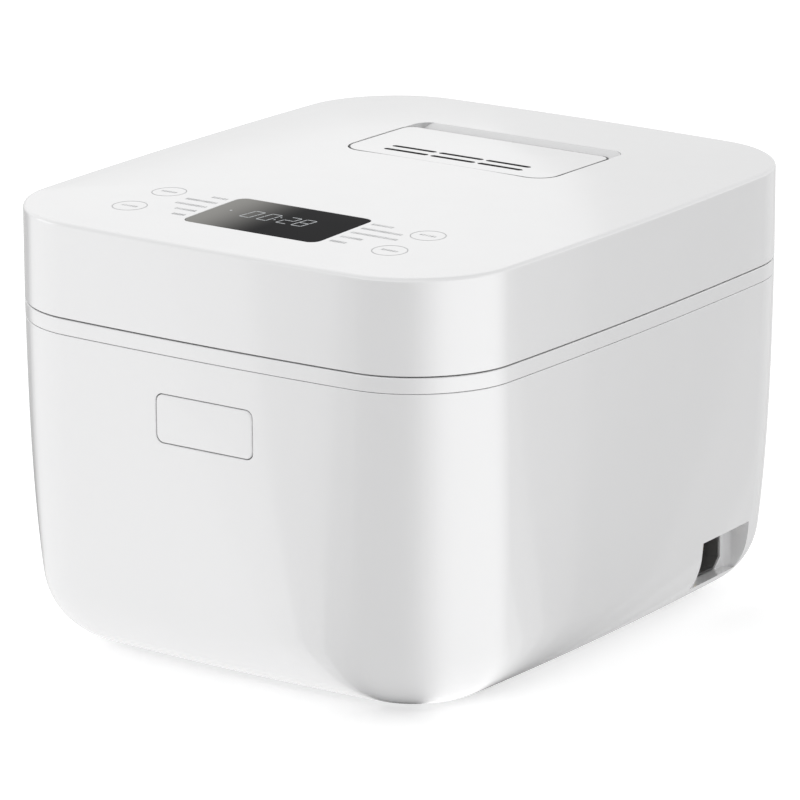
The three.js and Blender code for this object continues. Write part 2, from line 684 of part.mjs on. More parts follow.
function sensorSleeve() {
  const inn = SENSOR_RADIUS + GAP;
  return turned([[6, SENSOR_FLOOR], [inn + 2, SENSOR_FLOOR], [inn + 2, PLATE_TOP - 2], [inn, PLATE_TOP - 2],
    [inn, SENSOR_FLOOR + SENSOR_WALL], [6, SENSOR_FLOOR + SENSOR_WALL]], [0, POT_Y], 20);
}

function sensorCap() {
  const inn = SENSOR_RADIUS - SENSOR_WALL;
  const bottom = SENSOR_TOP - 8;
  return turned([
    [0, SENSOR_TOP - SENSOR_WALL], [inn, SENSOR_TOP - SENSOR_WALL], [inn, bottom], [SENSOR_RADIUS, bottom],
    [SENSOR_RADIUS, SENSOR_TOP - 1], [SENSOR_RADIUS - 1, SENSOR_TOP], [0, SENSOR_TOP],
  ], [0, POT_Y], 20);
}

piece('sensor_sleeve', sensorSleeve(), steel());
piece('sensor_cap', sensorCap(), aluminium());
piece('sensor_spring', coilSpring(13, 1.4, 4, [0, POT_Y, SENSOR_FLOOR + SENSOR_WALL + 1.2],
  [0, POT_Y, SENSOR_TOP - SENSOR_WALL - 1.2]), steel());

// ---------- Body: power board, inlet and its lead ----------

function powerBoard() {
  return box(BOARD_X, BOARD_Y, [BOARD_Z, BOARD_Z + BOARD_THICKNESS]);
}

const boardTop = BOARD_Z + BOARD_THICKNESS + GAP;

function transformer() {
  const core = box([-80, -54], [-50, -22], [boardTop, boardTop + 10]);
  return join(core, box([-76, -58], [-54, -18], [boardTop + 2, boardTop + 8]));
}

function relay() {
  return box([-44, -28], [-46, -26], [boardTop, boardTop + 9]);
}

function terminalBlock() {
  const block = box([-34, -20], [0, 18], [boardTop, boardTop + 9]);
  return cut(block, ...[4, 9, 14].map((y) => rod(1.5, [-26, y, boardTop + 5], [-10, y, boardTop + 5], 6)));
}

function socketCavity() {
  const [y, z] = SOCKET_CENTRE;
  const [hy, hz] = SOCKET_SIZE.map((size) => size / 2);
  const chamfer = 4.5;
  const shape = polygon([[y - hy, z + hz], [y - hy, z - hz + chamfer], [y - hy + chamfer, z - hz],
    [y + hy - chamfer, z - hz], [y + hy, z - hz + chamfer], [y + hy, z + hz]]);
  return prismX(shape, [POCKET_PANEL_X - SOCKET_CAVITY_DEPTH, POCKET_PANEL_X + 40]);
}

const PIN_PITCH = 14;
const EARTH_DROP = 4;
const inletPins = [[-PIN_PITCH / 2, EARTH_DROP / 2, 'live'], [0, -EARTH_DROP / 2, 'earth'],
  [PIN_PITCH / 2, EARTH_DROP / 2, 'neutral']];

function pinBar([dy, dz], margin) {
  const [y, z] = [SOCKET_CENTRE[0] + dy, SOCKET_CENTRE[1] + dz];
  return box([POCKET_PANEL_X - SOCKET_CAVITY_DEPTH - 9 - margin, POCKET_PANEL_X - 6 + margin],
    [y - 1 - margin, y + 1 + margin], [z - 2 - margin, z + 2 + margin]);
}

function inletSocket() {
  return cut(socketBlock(0), socketCavity(), ...inletPins.map((pin) => pinBar(pin, GAP / 2)));
}

// Mains lead, from the back of the inlet along the base to the terminal block.
function mainsLead() {
  const start = POCKET_PANEL_X - SOCKET_CAVITY_DEPTH - 9 - 1;
  const [y, z] = SOCKET_CENTRE;
  const route = [[start, y, z], [start - 14, y, z - 2], [64, 76, 17], [36, 44, 15.5], [8, 20, 17],
    [-12, 11, boardTop + 5], [-19, 9, boardTop + 5]];
  return tube(new THREE.CatmullRomCurve3(route.map((p) => new THREE.Vector3(...p))), 2.6, 22, 8);
}

piece('power_board', powerBoard(), boardGreen());
piece('transformer', transformer(), yellowTape());
piece('relay', relay(), blackPlastic());
piece('terminal_block', terminalBlock(), blackPlastic());
piece('inlet_socket', inletSocket(), blackPlastic());
for (const pin of inletPins) piece(`inlet_pin_${pin[2]}`, pinBar(pin, 0), brass());
piece('mains_lead', mainsLead(), leadGrey());

// ---------- Body: release button and latch ----------

const BUTTON_BACK = FRONT_FACE + WALL + GAP + 0.5; // front of the button's retaining flange
const FLANGE_THICKNESS = 1.5;
const GUIDE_Y = [BUTTON_BACK + FLANGE_THICKNESS + 10, BUTTON_BACK + FLANGE_THICKNESS + 12];
const LATCH_FRAME_HALF = LATCH_WIDTH / 2 + GAP + 2;

// Flush plate with a flange behind the shell's window and a stem to the latch.
function pushPlate() {
  const face = buttonPrism(-GAP, [-FAR, BUTTON_BACK + FLANGE_THICKNESS]).intersect(bodyBlank);
  const flange = buttonPrism(2.4, [BUTTON_BACK, BUTTON_BACK + FLANGE_THICKNESS]);
  const lever = LATCH_Y - 1.7 - GAP;
  const stem = rod(STEM_RADIUS, [0, BUTTON_BACK + 1, BUTTON_Z], [0, lever - 3, BUTTON_Z]);
  const tip = rod(STEM_RADIUS / 2, [0, lever - 4, BUTTON_Z], [0, lever, BUTTON_Z]);
  return join(face, flange, stem, tip);
}

// Bracket under the deck that guides the stem and carries the latch pin between two cheeks.
function latchFrame() {
  const top = DECK_UNDERSIDE - GAP;
  const guide = box([-22, 22], GUIDE_Y, [BUTTON_Z - 10, top]);
  const cheeks = [-LATCH_FRAME_HALF, LATCH_FRAME_HALF].map((x) =>
    box([x - 1, x + 1], [GUIDE_Y[0], LATCH_Y + 4], [LATCH_Z - 6, top]));
  const pinHole = rod(LATCH_PIN_RADIUS + GAP / 2, [-30, LATCH_Y, LATCH_Z], [30, LATCH_Y, LATCH_Z], 16);
  const stemHole = rod(STEM_RADIUS + GAP, [0, GUIDE_Y[0] - 5, BUTTON_Z], [0, GUIDE_Y[1] + 5, BUTTON_Z]);
  const hookWay = box([-LATCH_WIDTH / 2 - 1, LATCH_WIDTH / 2 + 1], [GUIDE_Y[0] - 1, GUIDE_Y[1] + 1],
    [LATCH_Z - 2, LID_TOP]);
  return cut(join(guide, ...cheeks), pinHole, stemHole, hookWay);
}

// Lever on the pin: the stem pushes its foot back, which swings the hook forward off the strike.
function latchHook() {
  const top = LINER_BOTTOM + 8;
  const [front, back] = [LATCH_Y - 1.7, LATCH_Y + 2.3];
  const shape = polygon([[front, BUTTON_Z - 5], [back, BUTTON_Z - 5], [back + 1, LATCH_Z - 4],
    [back + 1, LATCH_Z + 4], [back, LATCH_Z + 8], [back, top - 4], [back + 4, top - 4], [back + 1, top],
    [front, top], [front, LATCH_Z + 8], [front - 1, LATCH_Z + 4], [front - 1, LATCH_Z - 4],
    [front, LATCH_Z - 6]]);
  const lever = prismX(shape, [-LATCH_WIDTH / 2, LATCH_WIDTH / 2]);
  return lever.subtract(rod(LATCH_PIN_RADIUS + GAP / 2, [-30, LATCH_Y, LATCH_Z], [30, LATCH_Y, LATCH_Z], 16));
}

piece('push_plate', pushPlate(), whiteGloss());
piece('button_spring', coilSpring(5, 1, 4, [0, BUTTON_BACK + FLANGE_THICKNESS + 0.9, BUTTON_Z],
  [0, GUIDE_Y[0] - 0.9, BUTTON_Z]), steel());
piece('latch_frame', latchFrame(), zincSteel());
piece('latch_hook', latchHook(), blackPlastic());
piece('latch_pin', rod(LATCH_PIN_RADIUS, [-LATCH_FRAME_HALF - 3, LATCH_Y, LATCH_Z],
  [LATCH_FRAME_HALF + 3, LATCH_Y, LATCH_Z], 12), steel());

// ---------- Hinge ----------

function hingeAxisRod(radius, x0, x1, sides) {
  return rod(radius, [x0, HINGE_Y, HINGE_Z], [x1, HINGE_Y, HINGE_Z], sides);
}

// Steel ear on the body, through the deck, with a foot below it.
function hingeBracket(side) {
  const [x0, x1] = bracketSpan(side, 0);
  const y = [HINGE_Y - BRACKET_HALF, HINGE_Y + BRACKET_HALF];
  const foot = DECK_UNDERSIDE - GAP;
  const ear = join(box([x0, x1], y, [foot - 14, HINGE_Z]), hingeAxisRod(KNUCKLE_RADIUS, x0, x1, 24),
    box([x0 - 7, x1 + 7], [y[0], y[1] - 4], [foot - 2, foot]));
  return ear.subtract(hingeAxisRod(SHAFT_RADIUS + GAP / 2, x0 - 1, x1 + 1, 16));
}

// Arm on the lid, beside the bracket, bolted to the liner.
function hingeArm(side) {
  const inner = BRACKET_X + BRACKET_THICKNESS + GAP + 0.2;
  const [x0, x1] = [side * inner, side * (inner + ARM_THICKNESS)].sort((a, b) => a - b);
  const arm = join(hingeAxisRod(KNUCKLE_RADIUS, x0, x1, 24),
    box([x0, x1], [HINGE_Y - 22, HINGE_Y], [HINGE_Z + 1.4, HINGE_Z + KNUCKLE_RADIUS]));
  return arm.subtract(hingeAxisRod(SHAFT_RADIUS + GAP / 2, x0 - 1, x1 + 1, 16));
}

// Round-backed cover over the hinge: its tail turns about the hinge axis just above the deck.
function hingeCover() {
  const span = [-HINGE_HALF_WIDTH, HINGE_HALF_WIDTH];
  const inside = [-HINGE_HALF_WIDTH + 2, HINGE_HALF_WIDTH - 2];
  const top = HINGE_Z + HINGE_COVER_HEIGHT;
  const body = join(hingeAxisRod(HINGE_BACK, ...span, 32), box(span, [HINGE_Y, FAR], [HINGE_Z, top]));
  const hollow = join(hingeAxisRod(HINGE_BACK - WALL, ...inside, 32),
    box(inside, [HINGE_Y - HINGE_BACK - 1, FAR], [HINGE_Z, top + 1]))
    .intersect(slab(WALL, [UNDERSIDE, LID_TOP]));
  const openTop = box([-FAR, FAR], [0, HINGE_Y], [HINGE_Z, LID_TOP]);
  const slots = brackets.map(([side]) => box(bracketSpan(side, 1.5),
    [HINGE_Y - KNUCKLE_RADIUS - 3, FAR], [0, HINGE_Z + KNUCKLE_RADIUS + 2]));
  return cut(body.intersect(slab(0, [UNDERSIDE, LID_TOP])), hollow, openTop, ...slots);
}

for (const [side, place] of brackets) {
  piece(`hinge_bracket_${place}`, hingeBracket(side), zincSteel());
  piece(`hinge_arm_${place}`, hingeArm(side), zincSteel());
}
const shaftEnd = BRACKET_X + BRACKET_THICKNESS + ARM_THICKNESS + 3;
piece('hinge_shaft', hingeAxisRod(SHAFT_RADIUS, -shaftEnd, shaftEnd, 16), steel());
piece('hinge_spring', coilSpring(3.6, 1.2, 6, [-10, HINGE_Y, HINGE_Z], [10, HINGE_Y, HINGE_Z]), steel());
piece('hinge_cover', hingeCover(), whiteGloss());

// ---------- Lid ----------

function displayPrism(margin) {
  const half = DISPLAY_WIDTH / 2 - margin;
  return prismZ(roundedRectangle([-half, half], [DISPLAY_Y[0] + margin, DISPLAY_Y[1] - margin],
    DISPLAY_CORNER), [VENT_FLOOR, FAR]);
}

function ventPrism(margin, floor) {
  const half = VENT_WIDTH / 2 - margin;
  return prismZ(roundedRectangle([-half, half], [VENT_Y[0] + margin, VENT_Y[1] - margin],
    VENT_CORNER - margin, VENT_REAR_CORNER), [floor, FAR]);
}

// Sloping hollow behind the vent cover, for a fingertip.
function fingerScoop() {
  const front = VENT_Y[1] - 8;
  const shape = polygon([[front, LID_TOP - SCOOP_DEPTH], [VENT_Y[1] + 2, LID_TOP - SCOOP_DEPTH],
    [SCOOP_Y, LID_TOP - 1], [SCOOP_Y, FAR], [front, FAR]]);
  const plan = roundedRectangle([-SCOOP_WIDTH / 2, SCOOP_WIDTH / 2], [front - 20, SCOOP_Y], 2, 8);
  return prismX(shape, [-SCOOP_WIDTH / 2, SCOOP_WIDTH / 2]).intersect(prismZ(plan, [0, FAR]));
}

// Lid shell, with the vent's recess moulded in and windows for display, duct and hinge cover.
function lidCover() {
  const skin = loft([...lidProfile().reverse(), ...lidProfile(WALL)], false);
  const [half, below] = [VENT_WIDTH / 2 + WALL, VENT_FLOOR - WALL];
  const well = prismZ(roundedRectangle([-half, half], [VENT_Y[0] - WALL, SCOOP_Y + WALL],
    VENT_CORNER), [below, FAR]).intersect(lidBlank);
  const hingeNotch = box([-HINGE_HALF_WIDTH - GAP, HINGE_HALF_WIDTH + GAP],
    [HINGE_Y - HINGE_BACK - 2, FAR], [0, HINGE_Z + HINGE_COVER_HEIGHT + GAP]);
  return cut(join(skin, well), ventPrism(0, VENT_FLOOR), fingerScoop(), displayPrism(0), hingeNotch,
    disc(DUCT_RADIUS, [0, LID_TOP], [0, DUCT_Y], 16));
}

const INNER_LID_RADIUS = POT_RADIUS + 4;
const LINER_CUP_RADIUS = INNER_LID_RADIUS + 4;
const LINER_CUP_TOP = LINER_BOTTOM + 10;
const LINER_WALL = 2;
const LID_SCREW_SETBACK = [33.5, 44.9, 38.9]; // inside the side, front and rear flanks
const LID_SCREW_X = WIDTH / 2 - LID_SCREW_SETBACK[0];
const LID_SCREW_Y = [LID_SCREW_SETBACK[1] - DEPTH / 2, DEPTH / 2 - LID_SCREW_SETBACK[2]];
const lidScrews = [[-1, 0, 'front_left'], [1, 0, 'front_right'], [-1, 1, 'rear_left'], [1, 1, 'rear_right']];

// Underside of the lid, with a shallow cup that the inner lid sits in.
function lidLiner() {
  const plate = slab(WALL + GAP, [LINER_BOTTOM, LINER_BOTTOM + LINER_WALL]);
  const cupOuter = disc(LINER_CUP_RADIUS + LINER_WALL, [LINER_BOTTOM, LINER_CUP_TOP + LINER_WALL]);
  const cupInner = disc(LINER_CUP_RADIUS, [0, LINER_CUP_TOP]);
  const hingeRelief = box([-HINGE_HALF_WIDTH - GAP, HINGE_HALF_WIDTH + GAP],
    [HINGE_Y - HINGE_BACK - GAP, FAR], [0, LID_TOP]);
  const latchWay = box([-LATCH_SLOT_HALF, LATCH_SLOT_HALF], LATCH_SLOT_Y, [0, LID_TOP]);
  const screwHoles = lidScrews.map(([sx, row]) =>
    disc(SCREW_RADIUS + GAP, [0, LID_TOP], [sx * LID_SCREW_X, LID_SCREW_Y[row]], 8));
  return cut(join(plate, cupOuter), cupInner, hingeRelief, latchWay,
    disc(DUCT_RADIUS, [0, LID_TOP], [0, DUCT_Y], 16), ...screwHoles);
}

function lidScrew(sx, row) {
  const seat = LINER_BOTTOM - GAP;
  return turned([[0, seat - 1.4], [SCREW_HEAD, seat - 1.4], [SCREW_HEAD, seat], [SCREW_RADIUS, seat],
    [SCREW_RADIUS, seat + 10], [0, seat + 10]], [sx * LID_SCREW_X, LID_SCREW_Y[row]], 8);
}

const SEAL_BOTTOM = FLANGE_TOP + GAP;
const INNER_LID_Z = SEAL_BOTTOM + 5;
const SEAL_WIDTH = 8;
const SHEET = 1.2; // inner lid's sheet metal

// Pressed plate over the pot, with small steam holes near the duct.
function innerLid() {
  const r = INNER_LID_RADIUS - SEAL_WIDTH;
  const z = INNER_LID_Z;
  const plate = turned([
    [0, z + 3], [60, z + 2.2], [r - 6, z], [r, z], [r, z + 4], [r - SHEET, z + 4], [r - SHEET, z + SHEET],
    [r - 6, z + SHEET], [60, z + 2.2 + SHEET], [0, z + 3 + SHEET],
  ]);
  const holes = [];
  for (let i = 0; i < 6; i++) {
    const angle = i * Math.PI / 3;
    holes.push(disc(1.6, [0, LID_TOP], [6 * Math.cos(angle), DUCT_Y + 6 * Math.sin(angle)], 6));
  }
  return cut(plate, ...holes);
}

// Rubber ring round the inner lid that seals on the pot's flange.
function sealRing() {
  const inn = INNER_LID_RADIUS - SEAL_WIDTH + GAP;
  return turned([
    [inn, INNER_LID_Z], [inn + 3, SEAL_BOTTOM + 1], [inn + SEAL_WIDTH - 1, SEAL_BOTTOM],
    [inn + SEAL_WIDTH, SEAL_BOTTOM], [inn + SEAL_WIDTH, INNER_LID_Z + 4], [inn, INNER_LID_Z + 4],
  ]);
}

// Strike plate on the liner, just behind the latch hook's nose.
function latchStrike() {
  const front = LATCH_Y + 2.3 + 4 + GAP + 1;
  const y = [front, front + 3];
  const bar = box([-LATCH_WIDTH / 2, LATCH_WIDTH / 2], y, [LINER_BOTTOM - 1.5, LINER_BOTTOM + 6]);
  return bar;
}

piece('lid_cover', lidCover(), whiteGloss());
piece('lid_liner', lidLiner(), whiteInside());
piece('inner_lid', innerLid(), aluminium());
piece('seal_ring', sealRing(), clearRubber());
piece('latch_strike', latchStrike(), zincSteel());
for (const [sx, row, place] of lidScrews) piece(`lid_screw_${place}`, lidScrew(sx, row), zincSteel());

// ---------- Lid: display and touch keys ----------

const crownAt = (y) => LID_EDGE + crown(DEPTH / 2 - Math.abs(y));
const WINDOW_BACK = crownAt(DISPLAY_Y[0]) - WINDOW_THICKNESS;
const MODULE_HEIGHT = 6;
const CONTROL_BOARD_Z = WINDOW_BACK - GAP - MODULE_HEIGHT - GAP - BOARD_THICKNESS;
const PAD_TOP = LID_EDGE - WALL - GAP;

piece('display_window', displayPrism(GAP).intersect(lidBlank)
  .subtract(box([-FAR, FAR], [-FAR, FAR], [0, WINDOW_BACK])), darkGlass());
const MODULE_INSET = 3;
piece('display_module', box(
  [MODULE_INSET - DISPLAY_WIDTH / 2, DISPLAY_WIDTH / 2 - MODULE_INSET],
  [DISPLAY_Y[0] + MODULE_INSET, DISPLAY_Y[1] - MODULE_INSET],
  [WINDOW_BACK - GAP - MODULE_HEIGHT, WINDOW_BACK - GAP]), blackPlastic());
piece('control_board', box([-KEY_X - 14, KEY_X + 14], [KEY_Y[0] - 12, KEY_Y[1] + 14],
  [CONTROL_BOARD_Z, CONTROL_BOARD_Z + BOARD_THICKNESS]), boardGreen());
for (const [side, hand] of brackets) {
  KEY_Y.forEach((y, row) => piece(`touch_pad_${['front', 'rear'][row]}_${hand}`,
    disc(KEY_PAD_RADIUS, [CONTROL_BOARD_Z + BOARD_THICKNESS + GAP, PAD_TOP], [side * KEY_X, y], 12),
    clearRubber()));
}

// ---------- Lid: steam way and vent ----------

const DUCT_WALL = 2.5;
const TRAY_FLOOR = VENT_FLOOR + GAP + 2;
const TRAY_WALL = 1.8;
const COVER_BOTTOM = LID_TOP - 3.4;

function steamSlots() {
  const slots = [];
  for (const y of SLOT_ROWS) {
    for (const column of [-1, 0, 1]) {
      const x = column * SLOT_PITCH;
      slots.push(box([x - SLOT_LENGTH / 2, x + SLOT_LENGTH / 2],
        [y - SLOT_WIDTH / 2, y + SLOT_WIDTH / 2], [VENT_FLOOR, FAR]));
    }
  }
  return slots;
}

function ventCover() {
  const plate = ventPrism(GAP + 0.2, COVER_BOTTOM).intersect(lidBlank);
  return cut(plate, ...steamSlots());
}

function ventTray() {
  const half = VENT_WIDTH / 2 - VENT_LIP;
  const [y0, y1] = [VENT_Y[0] + VENT_LIP, VENT_Y[1] - 9];
  const tub = (margin, rear, floor, top) => prismZ(roundedRectangle(
    [margin - half, half - margin], [y0 + margin, y1 - margin], VENT_CORNER - VENT_LIP - margin, rear),
  [floor, top]);
  const outer = tub(0, 5, TRAY_FLOOR, COVER_BOTTOM - GAP);
  const inner = tub(TRAY_WALL, 5 - TRAY_WALL, TRAY_FLOOR + TRAY_WALL, FAR);
  return cut(outer, inner, disc(DUCT_RADIUS - 1, [0, LID_TOP], [0, DUCT_Y], 16));
}

piece('vent_cover', ventCover(), whiteGloss());
piece('vent_tray', ventTray(), whiteInside());
piece('vent_gasket', pipe(DUCT_RADIUS + 4, DUCT_RADIUS,
  [VENT_FLOOR + GAP, TRAY_FLOOR - GAP], [0, DUCT_Y], 16), clearRubber());
piece('steam_duct', pipe(DUCT_RADIUS + DUCT_WALL, DUCT_RADIUS,
  [LINER_CUP_TOP + LINER_WALL + GAP, VENT_FLOOR - WALL - GAP], [0, DUCT_Y], 16), whiteInside());
piece('steam_gasket', pipe(DUCT_RADIUS + 3, DUCT_RADIUS, [INNER_LID_Z + 4.6, LINER_CUP_TOP - GAP],
  [0, DUCT_Y], 16), clearRubber());

export default cooker;
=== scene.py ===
# Looks of the square rice cooker: fine shells, printed marks, metal and rubber pieces, studio.
# Metres throughout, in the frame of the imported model.

import math

import json

import bmesh
import bpy
import numpy as np
from mathutils import Matrix, Vector


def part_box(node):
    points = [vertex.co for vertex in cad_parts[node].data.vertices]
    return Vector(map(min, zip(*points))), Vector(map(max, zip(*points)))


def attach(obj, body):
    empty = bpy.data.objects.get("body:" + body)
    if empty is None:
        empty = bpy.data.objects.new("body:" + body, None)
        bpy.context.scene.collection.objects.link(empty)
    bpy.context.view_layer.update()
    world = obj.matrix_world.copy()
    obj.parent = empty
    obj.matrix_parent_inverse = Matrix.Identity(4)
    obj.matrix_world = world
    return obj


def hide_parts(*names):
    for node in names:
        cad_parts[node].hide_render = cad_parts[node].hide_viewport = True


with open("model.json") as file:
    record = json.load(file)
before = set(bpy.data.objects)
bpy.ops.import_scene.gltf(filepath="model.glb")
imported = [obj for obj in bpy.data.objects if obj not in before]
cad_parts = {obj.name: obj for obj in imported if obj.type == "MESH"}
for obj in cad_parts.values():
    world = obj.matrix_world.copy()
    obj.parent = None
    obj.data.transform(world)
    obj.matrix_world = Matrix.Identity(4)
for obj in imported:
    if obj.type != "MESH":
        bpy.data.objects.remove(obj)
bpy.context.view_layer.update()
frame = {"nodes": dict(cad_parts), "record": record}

# ---------- Sizes ----------

MM = 0.001

# Outline seen from above, as the mouldings are drawn
BULGE = 4.8 * MM
CORNER = 49.7 * MM
CORNER_GAIN = 0.035
SMALLEST_CORNER = 3 * MM

# Body and lid sections
TAPER = 8.75 * MM
BOTTOM_ROUND_HEIGHT = 35.2 * MM
BOTTOM_ROUND_DEPTH = 38 * MM
BOTTOM_ROUND_POWER = 2.23
PARTING_ANGLE = 78
TOP_EDGE_RADIUS = 1.9 * MM
CROWN_RISE = 3 * MM
WALL = 2.5 * MM
GAP = 0.4 * MM
EDGE_SOFTENING = 0.35 * MM

# Fineness of the shells
CORNER_STEPS = 18
FLANK_STEPS = 20
ROUND_SIDES = 128

# Camera
CAMERA_TARGET = Vector((-0.0032, 0.0, 0.1114))
CAMERA_DISTANCE = 2.8257
CAMERA_AZIMUTH = 35.296
CAMERA_ELEVATION = 15.887
CAMERA_ROLL = -0.181
CAMERA_LENS = 251.98

# The order of the pieces that come in fours
QUARTERS = ("front_left", "front_right", "rear_left", "rear_right")

# ---------- Places read from the frame ----------


def span(node):
    low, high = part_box(node)
    return Vector(low), Vector(high)


SHELL_HIGH = span("outer_shell")[1]
LID_LOW, LID_HIGH = span("lid_cover")
DECK_HIGH = span("deck_ring")[1]
BASE_LOW = span("base_plate")[0]
HALF_X = SHELL_HIGH.x - BULGE
HALF_Y = SHELL_HIGH.y - BULGE
UNDERSIDE = BASE_LOW.z
SHELL_TOP = SHELL_HIGH.z
COLLAR_TOP = DECK_HIGH.z
LID_BOTTOM = LID_LOW.z
SEAM = (COLLAR_TOP + LID_BOTTOM) / 2
LID_TOP = LID_HIGH.z
LID_EDGE = LID_TOP - CROWN_RISE
LID_SHOULDER = LID_EDGE - TOP_EDGE_RADIUS

# ---------- Mesh tools ----------


def as_piece(name, mesh, *finishes):
    piece = bpy.data.objects.new(name, mesh)
    bpy.context.scene.collection.objects.link(piece)
    mesh.materials.clear()
    for finish in finishes:
        mesh.materials.append(finish)
    return piece


def mesh_of(name, points, faces):
    mesh = bpy.data.meshes.new(name)
    mesh.from_pydata([tuple(p) for p in points], [], faces)
    solid = bmesh.new()
    solid.from_mesh(mesh)
    bmesh.ops.remove_doubles(solid, verts=solid.verts, dist=1e-7)
    bmesh.ops.recalc_face_normals(solid, faces=solid.faces)
    solid.to_mesh(mesh)
    solid.free()
    return mesh


def smooth(piece, angle=35):
    piece.data.shade_smooth()
    piece.data.set_sharp_from_angle(angle=math.radians(angle))
    return piece


def baked(piece):
    """The piece's mesh with its modifiers applied, and the modifiers removed."""
    graph = bpy.context.evaluated_depsgraph_get()
    done = bpy.data.meshes.new_from_object(piece.evaluated_get(graph))
    piece.modifiers.clear()
    piece.data = done
    return piece


def cut_out(piece, *tools):
    """Subtracts each tool from the piece, and throws the tools away."""
    for tool in tools:
        step = piece.modifiers.new("cut", "BOOLEAN")
        step.operation = "DIFFERENCE"
        step.solver = "EXACT"
        step.object = tool
    baked(piece)
    for tool in tools:
        bpy.data.objects.remove(tool)
    return piece


def join_in(piece, *others):
    for other in others:
        step = piece.modifiers.new("join", "BOOLEAN")
        step.operation = "UNION"
        step.solver = "EXACT"
        step.object = other
    baked(piece)
    for other in others:
        bpy.data.objects.remove(other)
    return piece


def soften(piece, width=EDGE_SOFTENING, angle=50):
    """Rounds the piece's sharp edges a little, as a moulding's are."""
    step = piece.modifiers.new("soft edges", "BEVEL")
    step.width = width
    step.segments = 2
    step.limit_method = "ANGLE"
    step.angle_limit = math.radians(angle)
    step.harden_normals = False
    return baked(piece)


# ---------- The cooker's outline ----------


def outline(inset, z):
    """One ring of the plan outline, drawn in by inset, as an array of points."""
    a, b = HALF_X - inset, HALF_Y - inset
    r = max(CORNER - inset + CORNER_GAIN * max(0.0, SEAM - z), SMALLEST_CORNER)
    signs = ((1, 1), (-1, 1), (-1, -1), (1, -1))
    points = []
    for k, (sx, sy) in enumerate(signs):
        cx, cy = sx * (a - r), sy * (b - r)
        for i in range(CORNER_STEPS):
            angle = (k + i / CORNER_STEPS) * math.pi / 2
            points.append((cx + r * math.cos(angle), cy + r * math.sin(angle)))
        nx, ny = signs[(k + 1) % 4]
        turn = (k + 1) * math.pi / 2
        for j in range(FLANK_STEPS):
            t = j / FLANK_STEPS
            x = cx * (1 - t) + nx * (a - r) * t + r * math.cos(turn)
            y = cy * (1 - t) + ny * (b - r) * t + r * math.sin(turn)
            points.append((x, y))
    xy = np.array(points)
    x, y = xy[:, 0].copy(), xy[:, 1].copy()
    xy[:, 0] += np.sign(x) * BULGE * (1 - (y / b) ** 2) * (np.abs(x) / a) ** 4
    xy[:, 1] += np.sign(y) * BULGE * (1 - (x / a) ** 2) * (np.abs(y) / b) ** 4
    return np.column_stack([xy, np.full(len(xy), z)])


def skinned(name, rings, loops):
    """A closed mesh through rings of equal length; open ends are closed by one face each."""
    count = len(rings[0])
    points = np.vstack(rings)
    faces = []
    bands = len(rings) if loops else len(rings) - 1
    for k in range(bands):
        here, there = k * count, (k + 1) % len(rings) * count
        for i in range(count):
            j = (i + 1) % count
            faces.append((here + i, here + j, there + j, there + i))
    if not loops:
        faces.append(tuple(range(count))[::-1])
        faces.append(tuple((len(rings) - 1) * count + i for i in range(count)))
    return mesh_of(name, points, faces)


def body_inset(z, round_inset=0.0):
    down = max(0.0, SEAM - z) / (SEAM - UNDERSIDE)
    return TAPER * down**3 + round_inset


def body_profile(steps=14, round_steps=18):
    """Flank and bottom round, from the shell's top edge to where the base plate takes over."""
    round_top = UNDERSIDE + BOTTOM_ROUND_HEIGHT
    heights = np.linspace(SHELL_TOP, round_top, steps, endpoint=False)
    profile = [(body_inset(z), z) for z in heights]
    for angle in np.radians(np.linspace(0, PARTING_ANGLE, round_steps)):
        drop = math.sin(angle) ** (2 / BOTTOM_ROUND_POWER)
        draw = 1 - math.cos(angle) ** (2 / BOTTOM_ROUND_POWER)
        z = round_top - BOTTOM_ROUND_HEIGHT * drop
        profile.append((body_inset(z, BOTTOM_ROUND_DEPTH * draw), z))
    return profile


def thickened(profile, depth):
    """The profile moved inwards by a wall, level at its top end and straight up at its bottom end."""
    moved = [(profile[0][0] + depth, profile[0][1])]
    for before, here, after in zip(profile, profile[1:], profile[2:]):
        du, dz = after[0] - before[0], before[1] - after[1]
        length = math.hypot(du, dz)
        moved.append((here[0] + depth * dz / length, here[1] + depth * du / length))
    moved.append((profile[-1][0], profile[-1][1] + depth))
    return moved


RIM = outline(TOP_EDGE_RADIUS, LID_EDGE)
RIM_ANGLES = np.unwrap(np.arctan2(RIM[:, 1], RIM[:, 0]))
RIM_REACH = np.hypot(RIM[:, 0], RIM[:, 1])


def crown_height(x, y):
    """Height of the lid's crowned top at x, y."""
    angle = np.mod(np.arctan2(y, x) - RIM_ANGLES[0], 2 * math.pi) + RIM_ANGLES[0]
    turn = np.append(RIM_ANGLES, RIM_ANGLES[0] + 2 * math.pi)
    reach = np.interp(angle, turn, np.append(RIM_REACH, RIM_REACH[0]))
    share = np.minimum(np.hypot(x, y) / reach, 1.0)
    return LID_EDGE + CROWN_RISE * (1 - share**2)


def on_crown(piece, lift=0.0):
    """Lays a flat piece, modelled about z = 0, on the lid's crowned top."""
    for vertex in piece.data.vertices:
        vertex.co.z += float(crown_height(vertex.co.x, vertex.co.y)) + lift
    return piece


def crowned_rings(depth=0.0, steps=16):
    """Rings from the lid's shoulder fillet to its middle, moved down by depth."""
    rings = []
    for share in np.linspace(1, 0, steps, endpoint=False)[1:]:
        ring = RIM * [share, share, 1]
        ring[:, 2] = crown_height(ring[:, 0], ring[:, 1]) - depth
        rings.append(ring)
    return rings


